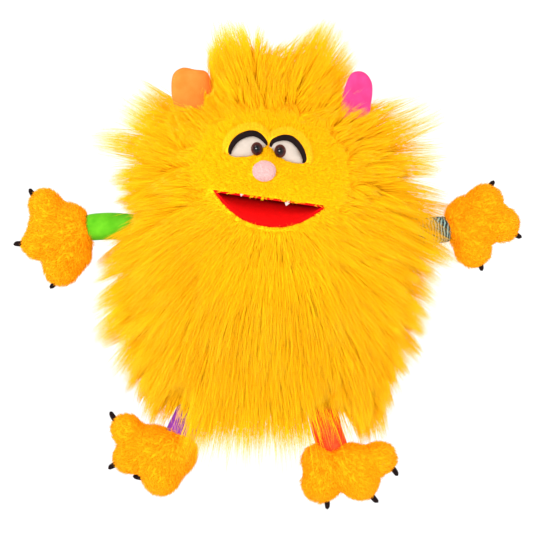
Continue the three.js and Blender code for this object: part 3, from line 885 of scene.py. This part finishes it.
def add_face_pile():
    """The short pile round the eyes and nose, clipped shorter close to them."""
    def density(centres):
        x, y, z = centres.T
        return 1.0 * ((face_distance(x, z) < 1.12) & (y < 0) & (slot_radius(*to_face(x, z)) > 1))

    roots, normals = sample_cloth(amount(FACE_STRANDS), density)
    clear = eye_distance(roots[:, 0], roots[:, 2])
    keep = clear > 0.0002
    roots, normals, clear = roots[keep], facing_front(normals)[keep], clear[keep]
    combs = comb_from_face(roots)
    lengths = pile_length(*roots.T) * rng.uniform(0.8, 1.15, len(roots))
    lengths *= mixed(0.5, 1.0, smooth(clear, 0, 0.006))
    lengths *= mixed(0.75, 1.0, smooth(face_place(roots)[1], 0.001, 0.008))
    paths = strand_paths(roots, normals, combs, lengths, 0.6, 0.25, 3, 0.3)
    paths, tuft = gathered(paths, len(roots) // FACE_TUFT, (0.1, 0.6))
    tones = 0.5 * tuft + 0.5 * rng.random(len(roots))
    for i, part in enumerate(np.array_split(np.arange(len(roots)), 2)):
        piece = strand_mesh(f"face_pile_{i + 1}", paths[part], widened(SHORT_WIDTH), tones[part],
                            FACE_PILE)
        finished(piece, "head", "short_pile")


def add_chin_pile():
    """The chin's pile, ragged along the lower lip."""
    def density(centres):
        u, v = face_place(centres)
        in_slot = (np.hypot(u / SLOT[0], v / SLOT[1]) < 1.02) & (centres[:, 1] < 0)
        return 1.0 * (in_slot & (v < lower_lip(u) - LIP_MARGIN))

    roots, normals = sample_cloth(amount(CHIN_STRANDS), density)
    u, v = face_place(roots)
    roots[:, 1] = chin_point(u, v)[:, 1]
    keep = v < lower_lip(u) - LIP_MARGIN
    roots, normals, u, v = roots[keep], facing_front(normals)[keep], u[keep], v[keep]
    lengths = pile_length(*roots.T) * rng.uniform(0.8, 1.1, len(roots))
    combs = comb_from_face(roots)
    by_lip = (1 - smooth(lower_lip(u) - v, 0.0010, 0.0040))[:, None]
    ragged = rng.normal(0, 0.8, roots.shape) + np.array([ROLL_SIN, 0.0, ROLL_COS]) * 1.3
    combs = unit(mixed(combs, ragged, by_lip * 0.75))
    lengths = mixed(lengths, rng.uniform(0.0025, 0.0050, len(u)), by_lip[:, 0])
    paths = strand_paths(roots, normals, combs, lengths, 0.5, 0.10, stray=0.07)
    paths, tuft = gathered(paths, len(roots) // CHIN_TUFT, (0.05, 0.35))
    tones = 0.25 + 0.25 * tuft + 0.4 * rng.random(len(roots))
    piece = strand_mesh("chin_pile", paths, widened(LONG_WIDTH), tones, PILE)
    hung_on_jaw(piece, "short_pile", CHIN_FROM, CHIN_TO, chin_depth())


def add_mouth_pile():
    """The red plush's own pile, longest along the lower lip."""
    count = amount(MOUTH_STRANDS)
    u = rng.uniform(-1, 1, count) * (LIP_HALF_WIDTH - 0.001)
    back = 1 - rng.random(count) ** 1.2 * 0.9
    roots = lining_points(u, back, lower_lip, -HINGE_GAP, JAW_EDGE)
    near_lip = smooth(back, 0.93, 1.0)[:, None]
    up = np.array([ROLL_SIN, 0.0, ROLL_COS])
    out = np.array([0.0, -1.0, 0.0])
    normals = unit(up + out * 0.1 + near_lip * out)
    combs = unit(up + rng.normal(0, 0.5, (count, 3)) + near_lip * (out - up * 1.6))
    lengths = mixed(0.0016, 0.0042, near_lip[:, 0]) * rng.uniform(0.6, 1.3, count)
    paths = strand_paths(roots, normals, combs, lengths, 0.6, 0.3, 3, 0.35)
    # painted light: strands deep in the mouth get lighter tones than those by the lip, to lift the
    # shade inside the mouth
    tones = mixed(0.85, 0.35, smooth(back, 0.6, 0.9)) + rng.uniform(-0.15, 0.15, count)
    piece = strand_mesh("mouth_pile", paths, SHORT_WIDTH, tones, MOUTH_PILE)
    finished(piece, "jaw", "mouth_plush")


# ---- the eyes ----
# Each white's outline, in millimetres from its middle, seen from the front, from the outer
# corner over the top to the inner corner and back below.
EYES = {
    "left": {
        "centre": (-16.1, 213.1),
        "top": [(-14.4, -8.0), (-13.3, -3.8), (-10, 1.3), (-5.5, 5.1), (-0.1, 7.4), (5.4, 8.2),
                (10.2, 6.6), (14.1, 3.7), (17.6, 0.2)],
        "bottom": [(12.5, -4.2), (8.5, -7.8), (3, -10.2), (-3, -10.6), (-9.4, -10.6)],
    },
    "right": {
        "centre": (18.1, 208.1),
        "top": [(12.6, -10.4), (12.8, -7.0), (10.4, -0.9), (6.6, 4.4), (2.0, 8.4), (-2.9, 9.8),
                (-7.4, 9.5), (-13, 7.5), (-16, 3.4)],
        "bottom": [(-13.2, 1.0), (-10.4, -3.2), (-4.6, -7.6), (0.5, -9.8), (7.2, -10.9)],
    },
}
EYE_RISE = 0.0072
NOSE_RADII = (0.0089, 0.0092, 0.0079)
NOSE_SHIFT = (0.0009, 0, -0.0005)
PUPIL_SIZE = (0.0047, 0.0054, 0.0034)  # half-width, half-height and height of the dome
PUPIL_DEPTH = 0.005  # of its straight side
PUPIL_SHIFTS = {"left": (0, 0, -0.0012), "right": (0, 0, -0.0008)}
LID_WIDTH = 0.0085
LID_RISE = 0.0086
TRIM_WIDTH = 0.0052
TOOTH_LENGTHS = {"left": 0.7, "right": 1}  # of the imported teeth's


def eye_centre(side):
    return np.array(EYES[side]["centre"]) * MM


def eye_outline(side):
    return curve_through(np.array(EYES[side]["top"] + EYES[side]["bottom"]) * MM, 72, closed=True)


def eye_top(side):
    """The eye's upper edge, from its middle."""
    return curve_through(np.array(EYES[side]["top"]) * MM, 33)


def outline_reach(offset, outline):
    """How far the outline is from its middle, in an offset's direction."""
    angle = np.arctan2(outline[:, 1], outline[:, 0])
    order = np.argsort(angle)
    here = np.arctan2(offset[..., 1], offset[..., 0])
    return np.interp(here, angle[order], np.hypot(*outline[order].T), period=2 * math.pi)


def eye_rise(offset, outline):
    """Height of the white over the cloth at a place (metres from the eye's middle)."""
    upward = np.arctan2(offset[..., 1], offset[..., 0])
    spread = mixed(1.0, 1.45, smooth(np.sin(upward), -0.2, 0.5))
    size = outline_reach(offset, outline) * spread
    share = np.hypot(offset[..., 0], offset[..., 1]) / size
    return EYE_RISE * np.sqrt(np.clip(1 - share**2, 0, 1))


def add_eye_white(side):
    """A crowned felt white, sunk a little into the face."""
    centre, outline = eye_centre(side), eye_outline(side)
    rings = np.append(np.linspace(0, 1, 13)[1:], 1.0)
    offsets = outline[None] * rings[:, None, None]
    rise = eye_rise(offsets, outline)
    rise[-1] = -0.002
    x, z = centre[0] + offsets[..., 0], centre[1] + offsets[..., 1]
    base = float(front_y(*centre))
    y = mixed(front_y(x, z), base, 0.4) - rise
    tip, back = [centre[0], base - EYE_RISE, centre[1]], [centre[0], base + 0.002, centre[1]]
    white = domed_object("eye_white_" + side + "_soft", stacked(x, y, z), tip, back, EYE)
    finished(white, "head", "eye_felt", "eye_white_" + side)


def band(name, top, outward, profile, place, material):
    """A strip swept along the eye's upper edge; profile gives (outward, forward) loops."""
    rows = []
    for i, (point, way) in enumerate(zip(top, outward)):
        loop = profile(i / (len(top) - 1))
        offsets = point[None] + way[None] * loop[:, :1]
        rows.append(place(offsets, loop[:, 1]))
    return tube_object(name, np.array(rows), material)


def end_taper(share, blunt):
    return blunt + (1 - blunt) * np.sin(math.pi * np.clip(share, 0, 1)) ** 0.6


def add_eyelid(side):
    """A plush roll over the white, with a black felt edge."""
    centre, top = eye_centre(side), eye_top(side)
    way = unit(np.gradient(top, axis=0)) * (1 if side == "left" else -1)
    outward = stacked(-way[:, 1], way[:, 0])

    def place(offsets, forward):
        x, z = centre[0] + offsets[:, 0], centre[1] + offsets[:, 1]
        return stacked(x, front_y(x, z) - forward, z)

    def lid_profile(share):
        size = end_taper(share, 0.15)
        turn = np.linspace(0, math.pi / 2, 8)
        out = -0.0006 + (LID_WIDTH * size + 0.0006) * np.sin(turn)
        rise = (LID_RISE * (0.35 + 0.65 * size)) * np.cos(turn) ** 0.8
        under = [(-0.0006, -0.002), (LID_WIDTH * size, -0.002)]
        return np.array(list(zip(out, rise)) + under[::-1])

    def trim_profile(share):
        width = TRIM_WIDTH * end_taper(share, 0.28)
        lid = LID_RISE * (0.35 + 0.65 * end_taper(share, 0.15))
        turn = full_turn(10)
        out = -0.0020 + width / 2 - np.cos(turn) * width / 2
        return stacked(out, lid + 0.0002 - out * 0.12 + 0.0010 * np.sin(turn))

    lid = band("eyelid_" + side + "_plush", top, outward, lid_profile, place, LID)
    finished(lid, "head", "short_pile", "eyelid_" + side)
    trim = band("lid_trim_" + side + "_felt", top, outward, trim_profile, place, TRIM)
    finished(trim, "head", "black_felt", "lid_trim_" + side)
    return lid


def add_pupil(side):
    """A domed plastic pupil that stands on the white and clear of its edge."""
    centre = middle("pupil_" + side) + PUPIL_SHIFTS[side]
    half_width, half_height, dome = PUPIL_SIZE
    rings, columns = 12, 32
    turn = steps(rings + 1, 0, math.pi / 2)[1:]
    around = full_turn(columns)
    x = half_width * np.sin(turn) * np.cos(around)
    z = half_height * np.sin(turn) * np.sin(around)
    local = stacked(x, -dome * np.cos(turn), z)
    local = np.concatenate([local, local[-1:] + [0, PUPIL_DEPTH, 0]])
    rim_x = centre[0] + half_width * np.cos(around) * 0.85
    rim_z = centre[2] + half_height * np.sin(around) * 0.85
    cloth = front_y(rim_x, rim_z) - 0.001
    seat = min(cloth.min(), *(surface_front("eye_white_" + side + "_soft", a, b)
                              for a, b in zip(rim_x, rim_z)))
    place = np.array([centre[0], seat, centre[2]])
    pupil = domed_object("pupil_" + side + "_dome", local + place, place - [0, dome, 0],
                         place + [0, PUPIL_DEPTH, 0], PUPIL)
    reach = np.concatenate([np.repeat(np.sin(turn[:, 0]), columns), np.ones(columns), [0, 1]])
    set_attribute(pupil.data, "ring", reach)
    finished(pupil, "head", "pupil", "pupil_" + side)


def surface_front(name, x, z):
    """How far forward a piece is at (x, z), or 0 beside it."""
    graph = bpy.context.evaluated_depsgraph_get()
    tree = BVHTree.FromObject(bpy.data.objects[name], graph)
    hit = tree.ray_cast(Vector((x, -1, z)), Vector((0, 1, 0)))[0]
    return hit.y if hit else 0.0


def add_lid_pile(side, lid):
    """Short pile on the lid, combed away from the eye and clear of its black edge."""
    centre, top = eye_centre(side), eye_top(side)
    lid_front = front_y(*centre) - 0.0005

    def density(centres):
        seen = centres[:, [0, 2]] - centre
        apart = np.linalg.norm(seen[:, None] - top[None], axis=2).min(axis=1)
        return ((centres[:, 1] < lid_front + 0.004) & (apart > TRIM_WIDTH * 0.6)) * 1.0

    roots, normals = sample_mesh(lid.data, amount(LID_STRANDS), density)
    away = unit((roots - [centre[0], 0, centre[1]]) * [1, 0, 1])
    lengths = LID_PILE_LENGTH * rng.uniform(0.7, 1.2, len(roots))
    paths = strand_paths(roots, facing_front(normals), away, lengths, 0.6, 0.3, 3, 0.3)
    piece = strand_mesh("eyelid_" + side + "_pile", paths, LID_STRAND_WIDTH,
                        rng.random(len(roots)), LID_PILE)
    finished(piece, "head", "short_pile")


# ---- nose and teeth ----
def add_nose():
    """A plush ball with its own short pile on the side that is seen."""
    centre = middle("nose_ball") + NOSE_SHIFT
    ball = bmesh.new()
    shape = Matrix.Translation(centre) @ Matrix.Diagonal((*NOSE_RADII, 1))
    bmesh.ops.create_icosphere(ball, subdivisions=4, radius=1, matrix=shape)
    nose = object_from(ball, "nose_ball_plush", NOSE)
    padded(nose, "head", "nose_plush", "nose_ball")
    count = amount(NOSE_STRANDS)
    ways = unit(rng.normal(0, 1, (count, 3)))
    ways[:, 1] = -np.abs(ways[:, 1])
    roots = centre + ways * NOSE_RADII * 0.99
    lengths = NOSE_PILE_LENGTH * rng.uniform(0.7, 1.2, count)
    combs = unit(np.cross(ways, rng.normal(0, 1, (count, 3))))
    paths = strand_paths(roots, ways, combs, lengths, 0.7, 0.4, 3, 0.2)
    piece = strand_mesh("nose_pile", paths, NOSE_STRAND_WIDTH, rng.random(count), NOSE_PILE)
    finished(piece, "head", "nose_plush")


def cone_axis(node):
    """Base middle, tip and base radius of a packed cone."""
    points = points_of(frame["nodes"][node].data)
    distance = np.linalg.norm(points - points.mean(0), axis=1)
    tip = points[np.argmax(distance)]
    base = points[np.linalg.norm(points - tip, axis=1) > distance.max() * 0.8]
    return base.mean(0), tip, np.linalg.norm(base - base.mean(0), axis=1).max()


def bent_cone(name, node, material, bend, blunt, flat=0.8, longer=1):
    """A felt cone or claw along a packed cone, slightly bent and not quite round."""
    base, tip, radius = cone_axis(node)
    way = unit(tip - base)
    length = np.linalg.norm(tip - base) * longer
    side, across = sideways(way)
    share, around = steps(9), full_turn(14)
    size = radius * mixed(1, blunt, share**1.4) * np.sqrt(np.clip(1.02 - share**8, 0.02, 1))
    size = size * (1 + 0.08 * np.sin(3 * around + 5 * share))
    line = base + way * (share[..., None] * length) + side * (bend * share[..., None] ** 2)
    return tube_object(name, rings_round(line, side, across, size, flat), material)


def add_teeth():
    for side, longer in TOOTH_LENGTHS.items():
        node = "tooth_" + side
        tooth = bent_cone(node + "_felt", node, TOOTH, TOOTH_BEND, TOOTH_TIP, 0.7, longer)
        low = float(front_y(*middle(node)[[0, 2]]))
        tooth.location.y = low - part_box(node)[0][1] + 0.001
        finished(tooth, "head", "tooth_felt", node)


# ---- the ears ----
EAR_OUTLINES = {  # millimetres seen from the front, from the ear's foot round its top
    "left": [(-70, 236), (-75, 246), (-77, 258), (-75.5, 270), (-68, 275.4), (-58, 274),
             (-48.5, 272), (-44.6, 262), (-45.5, 248), (-50, 236)],
    "right": [(61, 234), (60.5, 247), (63.5, 260), (68, 270), (74, 272.6), (80, 271),
              (84.6, 265), (85.8, 257.5), (84.6, 247), (81, 236)],
}
EAR_PAD = 0.0022  # half of an ear's thickness


def add_ear(side, material, slot):
    """A thin padded ear: the right one curls forward along its inner edge."""
    outline = curve_through(np.array(EAR_OUTLINES[side]) * MM, 64, closed=True)
    centre = outline.mean(0)
    half = np.abs(outline - centre).max(0)
    depth = middle("ear_" + side)[1]
    rings = np.linspace(0, 1, 15)[1:]
    sheets = []
    for face in (-1, 1):
        offsets = (outline - centre)[None] * rings[:, None, None]
        pad = EAR_PAD * np.sqrt(np.clip(1 - rings**4, 0, 1))[:, None]
        across = offsets[..., 0] / half[0]
        if side == "right":
            cup = -0.011 * smooth(-across, -0.1, 1.0) + 0.004 * across**2
        else:
            cup = 0.003 * across**2 + 0.0015 * across
        y = depth + cup + face * pad
        sheets.append(stacked(centre[0] + offsets[..., 0], y, centre[1] + offsets[..., 1]))
    front, back = sheets
    ear = domed_object("ear_" + side + "_plush", np.concatenate([front, back[::-1]]),
                       [centre[0], depth - EAR_PAD, centre[1]],
                       [centre[0], depth + EAR_PAD, centre[1]], material)
    padded(ear, "head", slot, "ear_" + side)


# ---- the limbs ----
LIMBS = {  # each limb's paw, the joint at its root, its plush and its radius
    "arm_left": ("hand_left", "arm_left_raise", GREEN, "green_plush", 0.0110),
    "arm_right": ("hand_right", "arm_right_raise", TEAL, "teal_print", 0.0108),
    "leg_left": ("foot_left", "leg_left_swing", PURPLE, "purple_plush", 0.0122),
    "leg_right": ("foot_right", "leg_right_swing", RED, "red_plush", 0.0122),
}


def add_limb(limb):
    """A tube of plush, gathered a little where it is sewn to the sack and to the paw."""
    paw, root_joint, material, slot, radius = LIMBS[limb]
    shoulder, wrist = (np.array(joints[name]["pos_m"]) for name in (root_joint, paw + "_flap"))
    way = unit(wrist - shoulder)
    root, end = shoulder - way * LIMB_IN_SACK, wrist + way * LIMB_IN_PAW
    side, across = sideways(way)
    share, around = steps(26), full_turn(40)
    ends = np.sqrt(np.clip(1 - (2 * share - 1) ** 8, 0.0, 1))
    folds = 0.035 * np.sin(7 * around + 2 * share) * (2 * share - 1) ** 2
    size = radius * (0.35 + 0.65 * ends) * (1 + folds + 0.03 * np.sin(3 * around + 9 * share))
    line = root + (end - root) * share[..., None]
    tube = tube_object(limb + "_tube", rings_round(line, side, across, size), material)
    stuffed(tube, LIMB_PUFF)
    padded(tube, limb, slot, limb + "_sleeve")
    add_paw(paw, wrist)


# Balls that fill out each paw's palm or sole and its digits: x, y, z and radius in millimetres.
PAW_BALLS = {
    "hand_left": [(-179, -2, 164, 14), (-181, -2, 147, 13), (-186, -2, 133, 13),
                  (-166, -2, 114, 15), (-155, 0, 125, 14)],
    "hand_right": [(177, -2, 166, 15), (190, -2, 149, 15), (167, -2, 129, 15)],
    "foot_left": [(-113, -32, -17, 13), (-111, -32, -40, 13), (-85, -32, -54, 16),
                  (-75, -31, -36, 19)],
    "foot_right": [(42, -43, -42, 14), (44, -44, -60, 16), (75, -44, -58, 16), (91, -44, -40, 14)],
}


def paw_skin(paw):
    """The paw's stuffing joined with its balls, swollen and smoothed."""
    bm = bmesh.new()
    bm.from_mesh(frame["nodes"][paw + "_stuffing"].data)
    for x, y, z, radius in PAW_BALLS[paw]:
        place = Matrix.Translation(Vector((x, y, z)) * MM)
        bmesh.ops.create_icosphere(bm, subdivisions=3, radius=radius * MM - PAW_GROWTH,
                                   matrix=place)
    skin = object_from(bm, paw + "_plush", PAW_BACKING)
    skin.modifiers.new("weld", "WELD").merge_threshold = 0.00002
    swell = skin.modifiers.new("swell", "DISPLACE")
    swell.strength = PAW_GROWTH
    swell.mid_level = 0
    remesh = skin.modifiers.new("remesh", "REMESH")
    remesh.mode = "VOXEL"
    remesh.voxel_size = PAW_CELL
    relax = skin.modifiers.new("relax", "SMOOTH")
    relax.factor = 0.6
    relax.iterations = 6
    return with_modifiers(skin)


def stuffed(obj, most):
    """Blows a closed skin up by cloth simulation, no point moving further than most."""
    before = points_of(obj.data)
    cloth = obj.modifiers.new("cloth", "CLOTH")
    cloth.settings.quality = 4
    cloth.settings.use_pressure = True
    cloth.settings.uniform_pressure_force = STUFFING_PRESSURE
    cloth.settings.effector_weights.gravity = 0
    cloth.collision_settings.use_collision = False
    cloth.point_cache.frame_start = 1
    cloth.point_cache.frame_end = STUFFING_FRAMES
    for number in range(1, STUFFING_FRAMES + 1):
        bpy.context.scene.frame_set(number)
    graph = bpy.context.evaluated_depsgraph_get()
    moved = points_of(obj.evaluated_get(graph).data) - before
    size = np.linalg.norm(moved, axis=1, keepdims=True)
    moved *= np.minimum(1, most / np.maximum(size, 1e-9))
    obj.modifiers.clear()
    bpy.context.scene.frame_set(1)
    move_points(obj.data, before + moved)
    obj.modifiers.new("finer", "SUBSURF").levels = 1
    return with_modifiers(obj)


def add_paw(paw, wrist):
    """A stuffed plush paw, its pile combed away from the wrist, and three felt claws."""
    skin = stuffed(paw_skin(paw), PAW_PUFF)
    padded(skin, paw, "short_pile", paw + "_skin")
    roots, normals = sample_mesh(skin.data, amount(PAW_STRANDS), lambda c: np.ones(len(c)))
    combs = unit(roots - wrist)
    combs[:, 1] *= 0.3
    combs = unit(combs - normals * np.sum(combs * normals, axis=1)[:, None])
    lengths = PAW_PILE_LENGTH * rng.uniform(0.7, 1.2, len(roots))
    paths = strand_paths(roots, normals, combs, lengths, 0.55, 0.2, 3, 0.25)
    paths, tuft = gathered(paths, len(roots) // PAW_TUFT, (0.1, 0.4))
    tones = 0.4 * tuft + 0.6 * rng.random(len(roots))
    pile = strand_mesh(paw + "_pile", paths, widened(SHORT_WIDTH), tones, PAW_PILE)
    finished(pile, paw, "short_pile")
    for i in (1, 2, 3):
        node = f"{paw}_claw_{i}"
        claw = bent_cone(node + "_felt", node, TRIM, CLAW_BEND * (-1) ** i, CLAW_TIP)
        finished(claw, paw, "black_felt", node)


# ---- the opening ----
def add_hem():
    """The rolled hem round the forearm opening."""
    low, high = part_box("sleeve_hem")
    outer = np.array([high[0], high[1]])
    height = high[2] - low[2]
    columns, rings = 72, 14
    around, turn = full_turn(columns), full_turn(rings)[:, None]
    inset = HEM_WIDTH / 2 - np.cos(turn) * HEM_WIDTH / 2
    x, y = (outer[0] - inset) * np.cos(around), (outer[1] - inset) * np.sin(around)
    z = height / 2 + height / 2 * np.sin(turn) + 0.0004 * np.sin(24 * around)
    faces = grid_faces(rings, columns, closed=True)
    faces += [[(rings - 1) * columns + c, (rings - 1) * columns + (c + 1) % columns,
               (c + 1) % columns, c] for c in range(columns)]
    hem = mesh_object("hem_roll", stacked(x, y, z), faces, BACKING)
    finished(hem, "lower_sack", "short_pile", "sleeve_hem")


def finish_hidden_parts():
    """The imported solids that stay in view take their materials."""
    finishes = {
        "sleeve_lining": LINING, "palm_lining": LINING, "finger_pocket": LINING,
        "thumb_pocket": LINING, "head_padding": WADDING, "upper_mouth_board": BOARD,
        "lower_mouth_board": BOARD, "mouth_hinge_strip": MOUTH,
        "eye_washer_left": WASHER, "eye_washer_right": WASHER,
    }
    for limb, parts in LIMBS.items():
        for body in (limb, parts[0]):
            finishes[body + "_stuffing"] = WADDING
    for node, material in finishes.items():
        mesh = frame["nodes"][node].data
        mesh.materials.clear()
        mesh.materials.append(material)


# ---- the setting ----
def add_area_light(name, place, aim, size, power):
    light = bpy.data.lights.new(name, "AREA")
    light.shape = "DISK"
    light.size = size
    light.energy = power
    obj = placed(name, light)
    obj.location = place
    obj.rotation_euler = (Vector(aim) - Vector(place)).to_track_quat("-Z", "Y").to_euler()


def add_setting():
    scene = bpy.context.scene
    scene.view_settings.view_transform = "Standard"
    world = bpy.data.worlds.new("white_room")
    world.use_nodes = True
    background = world.node_tree.nodes["Background"]
    background.inputs["Color"].default_value = (1, 1, 1, 1)
    background.inputs["Strength"].default_value = 1.1
    scene.world = world

    reach, floor_z = 60.0, cad_low[2] - 0.25
    corners = [(-reach, -reach, floor_z), (reach, -reach, floor_z),
               (reach, reach, floor_z), (-reach, reach, floor_z)]
    white, tree, shader = new_material("floor_white", 0.9, Specular_IOR_Level=0.1)
    coloured(tree, shader, noise(tree, 0.4, 1),
             [(0, (0.96, 0.96, 0.96)), (1, (0.98, 0.98, 0.98))])
    floor = mesh_object("floor", corners, [[0, 1, 2, 3]], white)

    aim = (0, 0, 0.13)
    add_area_light("key", (-0.8, -1.8, 1.4), aim, 0.9, 9)
    add_area_light("fill", (1.3, -1.7, 0.6), aim, 1.2, 4)
    add_area_light("front", (-2.4, -12.8, 0.5), aim, 3.4, 1640)
    add_area_light("back", (0.3, 1.8, 1.4), aim, 1.2, 34)
    add_area_light("left_side", (-2.4, 0.3, 0.7), aim, 1.2, 24)
    add_area_light("right_side", (2.4, 0.3, 0.7), aim, 1.2, 24)

    camera = bpy.data.cameras.new("camera")
    camera.sensor_width = 36
    camera.lens = camera.sensor_width * CAMERA_DISTANCE / VIEW_WIDTH
    scene.camera = placed("camera", camera)
    scene.camera.location = (0, -CAMERA_DISTANCE, VIEW_HEIGHT)
    scene.camera.rotation_euler = (math.pi / 2, 0, 0)


# ---- the puppet ----
add_setting()
finish_hidden_parts()
add_coat_cloth()
add_chin_cloth()
add_lining("palate_plush", "head", lambda u: UPPER_LIP_V, HINGE_GAP, LINING_THICKNESS,
           PALATE_EDGE, "palate_lining")
add_lining("jaw_plush", "jaw", lower_lip, -HINGE_GAP, -LINING_THICKNESS, JAW_EDGE, "jaw_lining")
add_gussets()
add_teeth()
for eye_side in ("left", "right"):
    add_eye_white(eye_side)
    add_lid_pile(eye_side, add_eyelid(eye_side))
    add_pupil(eye_side)
add_nose()
add_ear("left", ORANGE, "ear_orange")
add_ear("right", PINK, "ear_pink")
add_hem()
for limb_name in LIMBS:
    add_limb(limb_name)
add_long_pile()
add_face_pile()
add_chin_pile()
add_mouth_pile()
